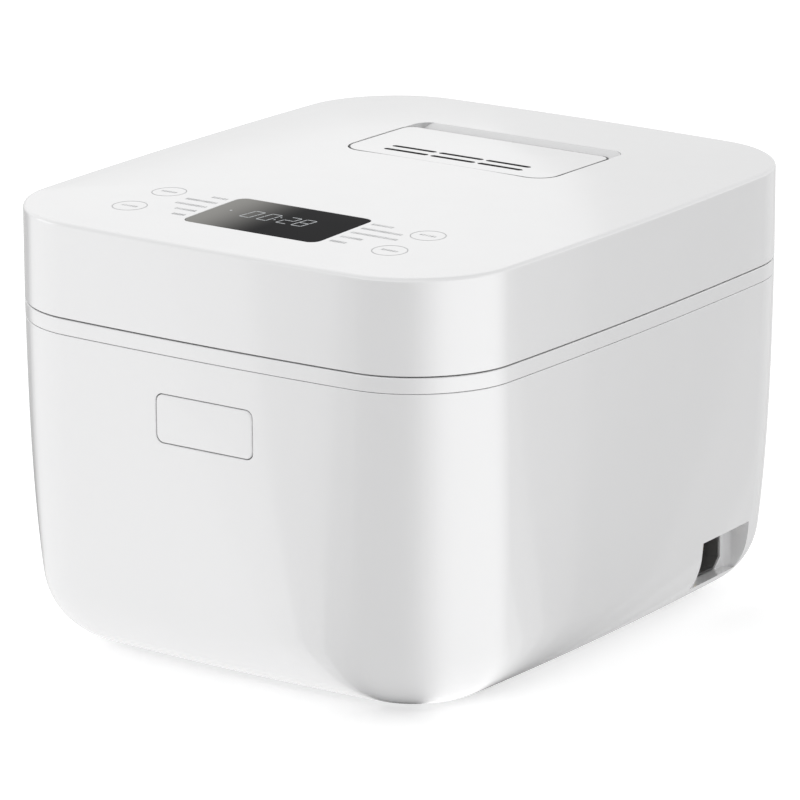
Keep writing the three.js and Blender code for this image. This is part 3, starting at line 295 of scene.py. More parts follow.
def lid_rings(depth=0.0):
    rings = [outline(depth, LID_BOTTOM)]
    for z in np.linspace(LID_BOTTOM, LID_SHOULDER - depth, 6)[1:-1]:
        rings.append(outline(depth, z))
    for angle in np.radians(np.linspace(0, 90, 7)):
        inset = depth + TOP_EDGE_RADIUS * (1 - math.cos(angle))
        rings.append(outline(inset, LID_SHOULDER - depth + TOP_EDGE_RADIUS * math.sin(angle)))
    return rings + crowned_rings(depth)


# ---------- Simple solids ----------


def rounded(u_span, v_span, low, high=None, steps=10):
    """Corner-rounded rectangle as a list of points; low and high are the radii at its two v ends."""
    high = low if high is None else high
    (u0, u1), (v0, v1) = u_span, v_span
    corners = (
        (u1 - low, v0 + low, low, -0.5),
        (u1 - high, v1 - high, high, 0.0),
        (u0 + high, v1 - high, high, 0.5),
        (u0 + low, v0 + low, low, 1.0),
    )
    points = []
    for cu, cv, r, start in corners:
        for i in range(steps + 1):
            angle = (start + 0.5 * i / steps) * math.pi
            points.append((cu + r * math.cos(angle), cv + r * math.sin(angle)))
    return points


def prism(name, points, w_span, axis="z"):
    """A flat shape pushed along an axis. The shape's u, v are x, y or x, z or y, z."""
    place = {
        "z": lambda u, v, w: (u, v, w),
        "y": lambda u, v, w: (u, w, v),
        "x": lambda u, v, w: (w, u, v),
    }[axis]
    rings = [np.array([place(u, v, w) for u, v in points]) for w in w_span]
    return as_piece(name, skinned(name, rings, False))


def block(name, x_span, y_span, z_span):
    corners = [(x_span[0], y_span[0]), (x_span[1], y_span[0]), (x_span[1], y_span[1]), (x_span[0], y_span[1])]
    return prism(name, corners, z_span)


def turned(name, profile, centre, sides=ROUND_SIDES, axis="z"):
    """A turned piece from (radius, height) points that close on themselves."""
    turn = np.linspace(0, 2 * math.pi, sides, endpoint=False)
    rings = []
    for r, h in profile:
        u, v, w = r * np.cos(turn), r * np.sin(turn), np.full(sides, h)
        rings.append(np.column_stack([u, v, w] if axis == "z" else [w, u, v]) + np.array(centre))
    return as_piece(name, skinned(name, rings, True))


def rod(name, radius, x_span, centre, sides=48):
    """A round bar along X."""
    profile = [(0.0, x_span[0]), (radius, x_span[0]), (radius, x_span[1]), (0.0, x_span[1])]
    return turned(name, profile, (0, *centre), sides, axis="x")


def fillet_arc(cu, cv, radius, start, end, steps=8):
    turn = np.radians(np.linspace(start, end, steps + 1))
    return [(cu + radius * math.cos(t), cv + radius * math.sin(t)) for t in turn]


def eased(points, radius, steps=3):
    """Closed flat outline with every corner rounded off by a short arc."""
    whole = []
    count = len(points)
    for i, here in enumerate(points):
        here = np.array(here, float)
        before, after = np.array(points[i - 1], float), np.array(points[(i + 1) % count], float)
        back, on = before - here, after - here
        lengths = np.linalg.norm(back), np.linalg.norm(on)
        back, on = back / lengths[0], on / lengths[1]
        half = math.acos(np.clip(back @ on, -1, 1)) / 2
        if half > math.radians(80):
            whole.append(tuple(here))
            continue
        reach = min(radius / math.tan(half), 0.45 * min(lengths))
        start, end = here + back * reach, here + on * reach
        for j in range(steps + 1):
            t = j / steps
            point = start * (1 - t) ** 2 + here * 2 * t * (1 - t) + end * t**2
            whole.append(tuple(point))
    return whole


def gathered(name, *parts):
    """Several separate pieces in one mesh."""
    points, faces = [], []
    for part in parts:
        base = len(points)
        points += [tuple(v.co) for v in part.data.vertices]
        faces += [[base + i for i in face.vertices] for face in part.data.polygons]
        bpy.data.objects.remove(part)
    return as_piece(name, mesh_of(name, points, faces))


def surface_rings(shape, height, ease, outward, steps=5):
    """Rings that climb to a surface and turn over its edge: outward for a hole's lip, inward for a plate.

    shape(margin) is the outline drawn in by margin; height(u, v) is the surface."""
    rings = []
    for angle in np.radians(np.linspace(0, 90, steps)):
        margin = ease * (1 - math.cos(angle)) * (-1 if outward else 1)
        flat = np.array(shape(margin))
        depth = ease * (1 - math.sin(angle))
        rings.append((flat, height(flat[:, 0], flat[:, 1]) - depth))
    return rings


def laid(rings, axis, facing=1):
    """Turns (outline, height) rings into 3-D ones: u, v are x, y for axis z, and x, z for axis y."""
    whole = []
    for flat, w in rings:
        w = facing * w
        columns = [flat[:, 0], flat[:, 1], w] if axis == "z" else [flat[:, 0], w, flat[:, 1]]
        whole.append(np.column_stack(columns))
    return whole


def surface_plate(name, shape, height, back, ease, axis="z", facing=1):
    """A plate whose face follows a surface, with an eased edge and a flat back."""
    outline_flat = np.array(shape(0))
    rings = [(outline_flat, np.full(len(outline_flat), back))]
    rings += surface_rings(shape, height, ease, outward=False)
    last = rings[-1][0]
    middle = (last.min(0) + last.max(0)) / 2
    for share in (0.92, 0.8, 0.65, 0.5, 0.35, 0.2, 0.08):
        flat = middle + (last - middle) * share
        rings.append((flat, height(flat[:, 0], flat[:, 1])))
    return as_piece(name, skinned(name, laid(rings, axis, facing), False))


def surface_cutter(shape, height, floor, ease, axis="z", facing=1):
    """What a recess with an eased lip takes out of a surface."""
    flat = np.array(shape(0))
    rings = [(flat, np.full(len(flat), floor))] + surface_rings(shape, height, ease, outward=True)
    last = rings[-1][0]
    rings.append((last, height(last[:, 0], last[:, 1]) + 3 * MM))
    return as_piece("cutter", skinned("cutter", laid(rings, axis, facing), False))


# ---------- Geometry Nodes ----------


class Repeat:
    """A Geometry Nodes tree with named sizes, which ends in Realize Instances and Set Material."""

    def __init__(self, name, **sizes):
        self.tree = bpy.data.node_groups.new(name, "GeometryNodeTree")
        face = self.tree.interface
        self.sockets = {}
        for label, value in sizes.items():
            kind = "NodeSocketInt" if isinstance(value, int) else "NodeSocketFloat"
            socket = face.new_socket(label.replace("_", " ").capitalize(), in_out="INPUT", socket_type=kind)
            self.sockets[label] = socket.identifier
        finish = face.new_socket("Finish", in_out="INPUT", socket_type="NodeSocketMaterial")
        self.sockets["finish"] = finish.identifier
        face.new_socket("Geometry", in_out="OUTPUT", socket_type="NodeSocketGeometry")
        self.defaults = sizes
        self.inputs = self.tree.nodes.new("NodeGroupInput").outputs

    def size(self, label):
        return self.inputs[label.replace("_", " ").capitalize()]

    def add(self, kind, settings=None, **values):
        node = self.tree.nodes.new(kind)
        for key, value in (settings or {}).items():
            setattr(node, key, value)
        for key, value in values.items():
            self.put(node.inputs[key.replace("_", " ")], value)
        return node

    def put(self, socket, value):
        if isinstance(value, bpy.types.NodeSocket):
            self.tree.links.new(value, socket)
        else:
            socket.default_value = value

    def maths(self, operation, first, second=0.0):
        node = self.add("ShaderNodeMath", {"operation": operation})
        self.put(node.inputs[0], first)
        self.put(node.inputs[1], second)
        return node.outputs[0]

    def vector(self, x=0.0, y=0.0, z=0.0):
        return self.add("ShaderNodeCombineXYZ", X=x, Y=y, Z=z).outputs[0]

    def copies(self, points, instance, **values):
        node = self.add("GeometryNodeInstanceOnPoints", None, Points=points, Instance=instance, **values)
        return node.outputs["Instances"]

    def end(self, geometry):
        whole = self.add("GeometryNodeRealizeInstances", None, Geometry=geometry).outputs[0]
        dressed = self.add("GeometryNodeSetMaterial", None, Geometry=whole, Material=self.inputs["Finish"])
        out = self.tree.nodes.new("NodeGroupOutput")
        self.tree.links.new(dressed.outputs[0], out.inputs[0])
        return self

    def make(self, name, finish, **sizes):
        """A plain mesh made by the tree with these sizes."""
        piece = as_piece(name, bpy.data.meshes.new(name))
        step = piece.modifiers.new("repeat", "NODES")
        step.node_group = self.tree
        for label, value in {**self.defaults, **sizes}.items():
            step[self.sockets[label]] = value
        step[self.sockets["finish"]] = finish
        return baked(piece)


def spring_tree():
    t = Repeat("coil spring", radius=5 * MM, height=10 * MM, turns=4.0, wire=0.5 * MM)
    coil = t.add(
        "GeometryNodeCurveSpiral", Resolution=36, Rotations=t.size("turns"), Start_Radius=t.size("radius"),
        End_Radius=t.size("radius"), Height=t.size("height"),
    )
    round_wire = t.add("GeometryNodeCurvePrimitiveCircle", {"mode": "RADIUS"}, Resolution=12,
                       Radius=t.size("wire"))
    body = t.add("GeometryNodeCurveToMesh", Curve=coil.outputs[0], Profile_Curve=round_wire.outputs[0],
                 Fill_Caps=True)
    return t.end(body.outputs[0])


def capsule_bars_tree():
    """Rows and columns of round-ended bars, for the steam slots."""
    t = Repeat("rows of capsules", length=27 * MM, width=2.2 * MM, depth=10 * MM, columns=3, rows=2,
               column_pitch=28.8 * MM, row_pitch=7.5 * MM)
    outline_curve = t.add("GeometryNodeCurvePrimitiveQuadrilateral", Width=t.size("length"),
                          Height=t.size("width"))
    rounded_ends = t.add("GeometryNodeFilletCurve", Curve=outline_curve.outputs[0],
                         Radius=t.maths("MULTIPLY", t.size("width"), 0.499))
    for key, value in (("Count", 8), ("Limit Radius", True), ("Mode", "Poly")):
        if key in rounded_ends.inputs:
            rounded_ends.inputs[key].default_value = value
    if hasattr(rounded_ends, "mode"):
        rounded_ends.mode = "POLY"
    rise = t.add("GeometryNodeCurvePrimitiveLine", End=t.vector(z=t.size("depth")))
    bar = t.add("GeometryNodeCurveToMesh", Curve=rise.outputs[0], Profile_Curve=rounded_ends.outputs[0],
                Fill_Caps=True)
    grid = t.add(
        "GeometryNodeMeshGrid", Vertices_X=t.size("columns"), Vertices_Y=t.size("rows"),
        Size_X=t.maths("MULTIPLY", t.size("column_pitch"), t.maths("SUBTRACT", t.size("columns"), 1.0)),
        Size_Y=t.maths("MULTIPLY", t.size("row_pitch"), t.maths("SUBTRACT", t.size("rows"), 1.0)),
    )
    return t.end(t.copies(grid.outputs[0], bar.outputs[0]))


def marks_tree():
    """Short printed dashes in rows of uneven length, as stand-ins for lines of small print."""
    t = Repeat("printed dashes", dash=0.75 * MM, dash_height=1.1 * MM, thickness=0.08 * MM, columns=12,
               rows=5, pitch=1.15 * MM, row_pitch=6 * MM, shortest=6, longest=11, seed=3)
    grid = t.add(
        "GeometryNodeMeshGrid", Vertices_X=t.size("columns"), Vertices_Y=t.size("rows"),
        Size_X=t.maths("MULTIPLY", t.size("pitch"), t.maths("SUBTRACT", t.size("columns"), 1.0)),
        Size_Y=t.maths("MULTIPLY", t.size("row_pitch"), t.maths("SUBTRACT", t.size("rows"), 1.0)),
    )
    index = t.add("GeometryNodeInputIndex").outputs[0]
    column = t.maths("FLOOR", t.maths("DIVIDE", t.maths("ADD", index, 0.5), t.size("rows")))
    row = t.maths("SUBTRACT", index, t.maths("MULTIPLY", column, t.size("rows")))
    length = t.add("FunctionNodeRandomValue", {"data_type": "INT"})
    whole_numbers = [s for s in length.inputs if s.type == "INT"]
    lowest, highest = [s for s in whole_numbers if s.name in ("Min", "Max")]
    t.put(lowest, t.size("shortest"))
    t.put(highest, t.size("longest"))
    t.put(length.inputs["ID"], row)
    t.put(length.inputs["Seed"], t.size("seed"))
    printed_length = next(s for s in length.outputs if s.type == "INT")
    within = t.maths("LESS_THAN", column, printed_length)
    wide = t.add("FunctionNodeRandomValue", {"data_type": "FLOAT"})
    low, high = [s for s in wide.inputs if s.type == "VALUE" and s.name in ("Min", "Max")]
    t.put(low, 0.55)
    t.put(high, 1.25)
    t.put(wide.inputs["Seed"], t.size("seed"))
    stretch = t.vector(next(s for s in wide.outputs if s.type == "VALUE"), 1.0, 1.0)
    dash = t.add("GeometryNodeMeshCube",
                 Size=t.vector(t.size("dash"), t.size("dash_height"), t.size("thickness")))
    return t.end(t.copies(grid.outputs[0], dash.outputs[0], Selection=within, Scale=stretch))


def ring_tree():
    """A printed circle."""
    t = Repeat("printed ring", radius=8.6 * MM, line=0.4 * MM, thickness=0.08 * MM)
    circle = t.add("GeometryNodeCurvePrimitiveCircle", {"mode": "RADIUS"}, Resolution=96,
                   Radius=t.size("radius"))
    section = t.add("GeometryNodeCurvePrimitiveQuadrilateral", Width=t.size("line"),
                    Height=t.size("thickness"))
    ring = t.add("GeometryNodeCurveToMesh", Curve=circle.outputs[0], Profile_Curve=section.outputs[0])
    return t.end(ring.outputs[0])


def screws_tree():
    """Cross-recessed screws at the corners of a rectangle, heads down."""
    t = Repeat("screws", head_radius=3.2 * MM, head_height=1.6 * MM, shank_radius=1.5 * MM, shank=11 * MM,
               cross=0.9 * MM, across=136 * MM, along=196 * MM)
    head = t.add("GeometryNodeMeshCylinder", Vertices=40, Radius=t.size("head_radius"),
                 Depth=t.size("head_height"))
    lifted = t.add("GeometryNodeTransform", Geometry=head.outputs[0],
                   Translation=t.vector(z=t.maths("MULTIPLY", t.size("head_height"), 0.5)))
    arms = []
    for turn in (0.0, math.pi / 2):
        arm = t.add("GeometryNodeMeshCube", Size=t.vector(
            t.maths("MULTIPLY", t.size("head_radius"), 1.2), t.size("cross"), t.size("head_height")))
        arms.append(t.add("GeometryNodeTransform", Geometry=arm.outputs[0], Rotation=(0, 0, turn)).outputs[0])
    recessed = t.add("GeometryNodeMeshBoolean", {"operation": "DIFFERENCE"}, Mesh_1=lifted.outputs[0])
    for arm in arms:
        t.tree.links.new(arm, recessed.inputs["Mesh 2"])
    shank = t.add("GeometryNodeMeshCylinder", Vertices=24, Radius=t.size("shank_radius"),
                  Depth=t.size("shank"))
    raised = t.add("GeometryNodeTransform", Geometry=shank.outputs[0], Translation=t.vector(
        z=t.maths("ADD", t.size("head_height"), t.maths("MULTIPLY", t.size("shank"), 0.49))))
    screw = t.add("GeometryNodeJoinGeometry")
    t.tree.links.new(recessed.outputs[0], screw.inputs[0])
    t.tree.links.new(raised.outputs[0], screw.inputs[0])
    places = t.add("GeometryNodeMeshGrid", Vertices_X=2, Vertices_Y=2, Size_X=t.size("across"),
                   Size_Y=t.size("along"))
    return t.end(t.copies(places.outputs[0], screw.outputs[0]))


SPRING = spring_tree()
CAPSULES = capsule_bars_tree()
PRINTED_DASHES = marks_tree()
PRINTED_RING = ring_tree()
SCREWS = screws_tree()


def moved(piece, x=0.0, y=0.0, z=0.0, turn=None):
    """Puts a piece in place in its mesh, after an optional turn (angle, axis)."""
    placing = Matrix.Translation((x, y, z))
    if turn:
        placing = placing @ Matrix.Rotation(turn[0], 4, turn[1])
    piece.data.transform(placing)
    return piece


# ---------- Finishes ----------


def finish(name, color, roughness, **sockets):
    """A finish whose even values sit on the shader's own sockets."""
    material = bpy.data.materials.new(name)
    material.use_nodes = True
    shader = material.node_tree.nodes["Principled BSDF"]
    shader.inputs["Base Color"].default_value = (*color, 1)
    shader.inputs["Roughness"].default_value = roughness
    for label, value in sockets.items():
        shader.inputs[label.replace("_", " ")].default_value = value
    return material


def shader_of(material):
    return material.node_tree.nodes["Principled BSDF"]


def noise(material, scale, detail=3.0, stretch=(1, 1, 1)):
    """Noise on Object coordinates; scale is features per metre."""
    tree = material.node_tree
    place = tree.nodes.new("ShaderNodeTexCoord")
    mapping = tree.nodes.new("ShaderNodeMapping")
    mapping.inputs["Scale"].default_value = stretch
    texture = tree.nodes.new("ShaderNodeTexNoise")
    texture.inputs["Scale"].default_value = scale
    texture.inputs["Detail"].default_value = detail
    tree.links.new(place.outputs["Object"], mapping.inputs["Vector"])
    tree.links.new(mapping.outputs["Vector"], texture.inputs["Vector"])
    return texture.outputs["Fac"]


def bump(material, height, depth, strength=1.0):
    """Adds relief of the given depth in metres."""
    tree = material.node_tree
    node = tree.nodes.new("ShaderNodeBump")
    node.inputs["Strength"].default_value = strength
    node.inputs["Distance"].default_value = depth
    tree.links.new(height, node.inputs["Height"])
    tree.links.new(node.outputs[0], shader_of(material).inputs["Normal"])


def spread(material, value, low, high, socket="Roughness"):
    """Drives a socket between low and high by a pattern."""
    tree = material.node_tree
    node = tree.nodes.new("ShaderNodeMapRange")
    node.inputs["From Min"].default_value = 0.3
    node.inputs["From Max"].default_value = 0.7
    node.inputs["To Min"].default_value = low
    node.inputs["To Max"].default_value = high
    tree.links.new(value, node.inputs["Value"])
    tree.links.new(node.outputs[0], shader_of(material).inputs[socket])


def tinted(material, value, first, second, start=0.35, end=0.65):
    """Blends two colours by a pattern."""
    tree = material.node_tree
    ramp = tree.nodes.new("ShaderNodeValToRGB")
    ramp.color_ramp.elements[0].position = start
    ramp.color_ramp.elements[1].position = end
    ramp.color_ramp.elements[0].color = (*first, 1)
    ramp.color_ramp.elements[1].color = (*second, 1)
    tree.links.new(value, ramp.inputs["Fac"])
    tree.links.new(ramp.outputs["Color"], shader_of(material).inputs["Base Color"])
    return ramp


def gloss_white(name="gloss white moulding", tone=0.79):
    """Polished white plastic: a clear surface over a body with a hint of flow."""
    material = finish(name, (tone, tone, tone), 0.3, IOR=1.7, Coat_Weight=1.0, Coat_Roughness=0.09,
                      Coat_IOR=2.0)
    tinted(material, noise(material, 9, 1), (tone, tone, tone * 1.006), (tone * 0.994, tone * 0.994, tone))
    spread(material, noise(material, 60, 3), 0.29, 0.34)
    bump(material, noise(material, 40, 1), 0.00001, 0.5)
    return material


def satin_white():
    """Spark-eroded inside faces: fine even texture, no shine."""
    material = finish("satin white moulding", (0.74, 0.745, 0.75), 0.5)
    tinted(material, noise(material, 20, 3), (0.75, 0.755, 0.76), (0.72, 0.725, 0.73))
    spread(material, noise(material, 900, 3), 0.42, 0.6)
    bump(material, noise(material, 3500, 2), 0.00003, 0.4)
    return material


def smoked_glass():
    """Smoked panel with a painted sheen: its colour fades from grey at its left edge to black, a painted
    reflection on the glass.
    """
    material = finish("smoked display panel", (0.014, 0.015, 0.017), 0.12, IOR=1.15)
    tree = material.node_tree
    place = tree.nodes.new("ShaderNodeTexCoord")
    across = tree.nodes.new("ShaderNodeSeparateXYZ")
    fade = tree.nodes.new("ShaderNodeMapRange")
    fade.inputs["From Min"].default_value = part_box("display_window")[0].x
    fade.inputs["From Max"].default_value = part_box("display_window")[1].x
    tree.links.new(place.outputs["Object"], across.inputs[0])
    tree.links.new(across.outputs["X"], fade.inputs["Value"])
    # Painted sheen: base colour grey at the panel's left edge, fading to black, in place of the glass's
    # reflection
    ramp = tinted(material, fade.outputs[0], (0.30, 0.295, 0.28), (0.008, 0.008, 0.009), 0.0, 0.55)
    ramp.color_ramp.interpolation = "EASE"
    shader_of(material).inputs["Specular IOR Level"].default_value = 0.03
    spread(material, noise(material, 250, 4), 0.1, 0.16)
    bump(material, noise(material, 35, 1), 0.000005, 0.3)
    return material


def black_moulding(name="black moulding", tone=0.03):
    material = finish(name, (tone, tone, tone), 0.5)
    tinted(material, noise(material, 60, 3), (0.85 * tone,) * 3, (1.2 * tone,) * 3)
    spread(material, noise(material, 500, 4), 0.38, 0.6)
    bump(material, noise(material, 2500, 2), 0.00003, 0.6)
    return material


def grey_rubber():
    material = finish("grey rubber", (0.07, 0.072, 0.076), 0.85)
    tinted(material, noise(material, 150, 4), (0.058, 0.06, 0.064), (0.085, 0.087, 0.092))
    spread(material, noise(material, 700, 3), 0.72, 0.95)
    bump(material, noise(material, 1800, 3), 0.00006, 0.7)
    return material


def clear_rubber():
    """Translucent silicone with a soft dusty surface."""
    material = finish("clear silicone", (0.62, 0.64, 0.66), 0.45, Subsurface_Weight=0.25,
                      Subsurface_Scale=0.002)
    tinted(material, noise(material, 90, 3), (0.6, 0.62, 0.64), (0.68, 0.69, 0.7))
    spread(material, noise(material, 400, 4), 0.34, 0.6)
    bump(material, noise(material, 900, 2), 0.00003, 0.5)
    return material


def metal(name, color, smoothest, roughest, stretch=(1, 1, 1), scale=900, relief=0.00001):
    """Bare metal with rolling or turning marks along one direction."""
    material = finish(name, color, (smoothest + roughest) / 2, Metallic=1.0)
    darker = tuple(0.88 * c for c in color)
    tinted(material, noise(material, 40, 4), darker, color)
    spread(material, noise(material, scale, 5, stretch), smoothest, roughest)
    bump(material, noise(material, scale, 4, stretch), relief, 0.5)
    return material


def spun_metal(name, color, smoothest, roughest, centre, pitch=0.8 * MM, relief=0.00001):
    """Sheet metal with fine rings left by spinning, about a vertical axis."""
    material = finish(name, color, (smoothest + roughest) / 2, Metallic=1.0)
    tree = material.node_tree
    place = tree.nodes.new("ShaderNodeTexCoord")
    mapping = tree.nodes.new("ShaderNodeMapping")
    mapping.inputs["Location"].default_value = (-centre[0], -centre[1], 0)
    rings = tree.nodes.new("ShaderNodeTexWave")
    rings.wave_type = "RINGS"
    rings.rings_direction = "Z"
    rings.inputs["Scale"].default_value = 0.05 / pitch
    rings.inputs["Distortion"].default_value = 1.2
    rings.inputs["Detail"].default_value = 2
    rings.inputs["Detail Scale"].default_value = 6
    tree.links.new(place.outputs["Object"], mapping.inputs["Vector"])
    tree.links.new(mapping.outputs["Vector"], rings.inputs["Vector"])
    tinted(material, noise(material, 35, 4), tuple(0.9 * c for c in color), color)
    spread(material, rings.outputs["Fac"], smoothest, roughest)
    bump(material, rings.outputs["Fac"], relief, 0.5)
    return material


def pot_coating():
    """Dark non-stick coating with fine light flecks."""
    material = finish("flecked pot coating", (0.05, 0.052, 0.056), 0.42, Coat_Weight=0.25,
                      Coat_Roughness=0.25)
    tinted(material, noise(material, 1300, 1), (0.042, 0.043, 0.047), (0.24, 0.24, 0.25), 0.66, 0.74)
    spread(material, noise(material, 300, 4), 0.34, 0.52)
    bump(material, noise(material, 1600, 2), 0.00003, 0.5)
    return material


def circuit_board():
    """Solder mask with a paler grid of tracks."""
    material = finish("circuit board", (0.02, 0.16, 0.07), 0.4)
    tree = material.node_tree
    place = tree.nodes.new("ShaderNodeTexCoord")
    cells = tree.nodes.new("ShaderNodeTexBrick")
    cells.inputs["Scale"].default_value = 60
    cells.inputs["Mortar Size"].default_value = 0.03
    cells.inputs["Color1"].default_value = (0.014, 0.12, 0.05, 1)
    cells.inputs["Color2"].default_value = (0.02, 0.17, 0.075, 1)
    cells.inputs["Mortar"].default_value = (0.06, 0.32, 0.15, 1)
    tree.links.new(place.outputs["Object"], cells.inputs["Vector"])
    tree.links.new(cells.outputs["Color"], shader_of(material).inputs["Base Color"])
    spread(material, noise(material, 800, 3), 0.32, 0.5)
    bump(material, cells.outputs["Fac"], 0.00004, 0.6)
    return material


def winding_tape():
    material = finish("winding tape", (0.62, 0.42, 0.07), 0.5)
    tinted(material, noise(material, 220, 3, (1, 8, 1)), (0.55, 0.36, 0.05), (0.68, 0.48, 0.1))
    spread(material, noise(material, 600, 3), 0.4, 0.62)
    bump(material, noise(material, 500, 3, (1, 8, 1)), 0.00005, 0.6)
    return material


def lead_sheath():
    material = finish("lead sheath", (0.26, 0.27, 0.28), 0.55)
    tinted(material, noise(material, 120, 3), (0.23, 0.24, 0.25), (0.3, 0.31, 0.32))
    spread(material, noise(material, 700, 3), 0.45, 0.68)
    bump(material, noise(material, 1200, 2), 0.00003, 0.5)
    return material


def print_ink(name, color):
    """Screen print: matt ink with slightly uneven cover."""
    material = finish(name, color, 0.55)
    tinted(material, noise(material, 2500, 3), color, tuple(min(1.0, 1.15 * c) for c in color))
    spread(material, noise(material, 1500, 2), 0.48, 0.65)
    bump(material, noise(material, 3000, 1), 0.00001, 0.5)
    return material


def lit_segment():
    """Lit display segment, its glow a little uneven."""
    material = finish("lit segment", (0.36, 0.37, 0.38), 0.4)
    shader_of(material).inputs["Emission Color"].default_value = (0.75, 0.8, 0.84, 1)
    spread(material, noise(material, 1500, 2), 0.14, 0.22, "Emission Strength")
    spread(material, noise(material, 900, 2), 0.3, 0.5)
    return material


POT_CENTRE = (0.0, (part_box("inner_pot")[0].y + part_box("inner_pot")[1].y) / 2)
FINISHES = {
    "white_shell": gloss_white(),
    "white_inner": satin_white(),
    "dark_glass": smoked_glass(),
    "black_plastic": black_moulding(),
    "grey_rubber": grey_rubber(),
    "clear_rubber": clear_rubber(),
    "aluminium": spun_metal("spun aluminium", (0.78, 0.79, 0.8), 0.25, 0.4, POT_CENTRE),
    "steel": metal("drawn steel", (0.62, 0.63, 0.65), 0.22, 0.36, (1, 1, 0.2), 700),
    "zinc_steel": metal("zinc-plated sheet", (0.6, 0.61, 0.63), 0.3, 0.52, (1, 1, 1), 260, 0.00002),
    "pot_coating": pot_coating(),
    "brass": metal("plated brass", (0.74, 0.55, 0.24), 0.22, 0.38, (0.2, 1, 1), 700),
    "circuit_board": circuit_board(),
    "winding_tape": winding_tape(),
    "lead_sheath": lead_sheath(),
}
CHARCOAL = black_moulding("charcoal moulding", 0.11)
GREY_INK = print_ink("grey panel print", (0.33, 0.335, 0.34))
PALE_INK = print_ink("pale level print", (0.62, 0.63, 0.64))
LIT = lit_segment()
SLOT_OF = {part["node"]: part["material_slot"] for part in frame["record"]["subparts"]}


def placed(piece, body, slot, *nodes):
    """Finishes a piece: smooth faces, the slot's finish where it has none, its body, and the CAD nodes it
    stands for hidden.
    """
    if not piece.data.materials:
        piece.data.materials.append(FINISHES[slot])
    smooth(piece)
    even = piece.modifiers.new("even shading", "WEIGHTED_NORMAL")
    even.keep_sharp = True
    baked(piece)
    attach(piece, body)
    if nodes:
        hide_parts(*nodes)
    return piece


# ---------- Pieces taken afresh from the CAD solids ----------


def merged_copy(node):
    solid = bmesh.new()
    solid.from_mesh(frame["nodes"][node].data)
    bmesh.ops.remove_doubles(solid, verts=solid.verts, dist=2e-6)
    return solid


def meridian(node, centre):
    """The (radius, height) section of a turned solid, read where it meets the plane in front of its axis."""
    solid = merged_copy(node)
    beside = {}
    for edge in solid.edges:
        ends = []
        for vertex in edge.verts:
            x, y, z = vertex.co
            if abs(x - centre[0]) > 5e-6 or y - centre[1] > 5e-6:
                break
            ends.append((max(0.0, round(centre[1] - y, 6)), round(z, 6)))
        if len(ends) == 2 and ends[0] != ends[1]:
            beside.setdefault(ends[0], set()).add(ends[1])
            beside.setdefault(ends[1], set()).add(ends[0])
    solid.free()
    start = next((p for p in beside if len(beside[p]) == 1), next(iter(beside)))
    path, here, before = [start], start, None
    while True:
        onward = [p for p in beside[here] if p != before and p not in path]
        if not onward:
            break
        before, here = here, onward[0]
        path.append(here)
    for end, place in ((0, 0), (-1, len(path))):
        if len(beside[path[end]]) == 1 and path[end][0] > 0:
            path.insert(place if end == 0 else len(path), (0.0, path[end][1]))
    return path


def turned_afresh(name, node, edge=0.25 * MM, sides=ROUND_SIDES):
    low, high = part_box(node)
    centre = ((low.x + high.x) / 2, (low.y + high.y) / 2)
    section = meridian(node, centre)
    return turned(name, eased(section, edge), (*centre, 0), sides)


def dressed(name, node, edge=0.3 * MM, angle=40):
    """A CAD solid with its edges eased."""
    solid = merged_copy(node)
    bmesh.ops.dissolve_limit(
        solid, angle_limit=math.radians(1), verts=solid.verts, edges=solid.edges,
        use_dissolve_boundaries=False)
    mesh = bpy.data.meshes.new(name)
    solid.to_mesh(mesh)
    solid.free()
    return soften(as_piece(name, mesh), edge, angle)


def swept(name, path, radius, sides=20):
    """A round bar along a path, with flat ends."""
    path = [Vector(p) for p in path]
    rings, side = [], None
    for i, here in enumerate(path):
        along = (path[min(i + 1, len(path) - 1)] - path[max(i - 1, 0)]).normalized()
        side = along.orthogonal() if side is None else side - along * side.dot(along)
        side.normalize()
        lift = along.cross(side)
        turn = np.linspace(0, 2 * math.pi, sides, endpoint=False)
        ring = [here + radius * (math.cos(t) * side + math.sin(t) * lift) for t in turn]
        rings.append(np.array([tuple(p) for p in ring]))
    return as_piece(name, skinned(name, rings, False))


def smooth_path(points, steps=12):
    """Points on a curve through the given ones."""
    points = [Vector(p) for p in points]
    ends = [2 * points[0] - points[1], *points, 2 * points[-1] - points[-2]]
    path = []
    for a, b, c, d in zip(ends, ends[1:], ends[2:], ends[3:]):
        for i in range(steps):
            t = i / steps
            path.append(0.5 * (2 * b + (c - a) * t + (2 * a - 5 * b + 4 * c - d) * t**2
                               + (3 * b - a - 3 * c + d) * t**3))
    return [*path, points[-1]]


# ---------- Shared sizes of the mouldings ----------

FAR = 0.4
SEAM_EDGE = 0.35 * MM
DECK_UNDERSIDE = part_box("cooking_chamber")[1].z + GAP
DECK = DECK_UNDERSIDE + WALL
HINGE = (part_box("hinge_shaft")[0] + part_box("hinge_shaft")[1]) / 2
HINGE_BACK = SHELL_HIGH.y - HINGE.y
KNUCKLE = 5 * MM
HINGE_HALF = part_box("hinge_cover")[1].x
HINGE_COVER_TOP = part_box("hinge_cover")[1].z
FLANGE_MARGIN = 2.4 * MM
BUTTON_LOW, BUTTON_HIGH = span("push_plate")
BUTTON_Z = (BUTTON_LOW.z + BUTTON_HIGH.z) / 2
BUTTON_HALF = (BUTTON_HIGH.x - FLANGE_MARGIN, (BUTTON_HIGH.z - BUTTON_LOW.z) / 2 - FLANGE_MARGIN)
BUTTON_CORNER = 4 * MM
LATCH_HIGH = span("latch_hook")[1]
PIN = (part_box("latch_pin")[0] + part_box("latch_pin")[1]) / 2
LATCH_SLOT_Y = (PIN.y - 15 * MM, PIN.y + 11 * MM)
LATCH_SLOT_X = LATCH_HIGH.x + 2 * MM
SOCKET_LOW, SOCKET_HIGH = span("inlet_socket")
PANEL_X = SOCKET_HIGH.x + GAP
SOCKET_MIDDLE = (SOCKET_LOW + SOCKET_HIGH) / 2
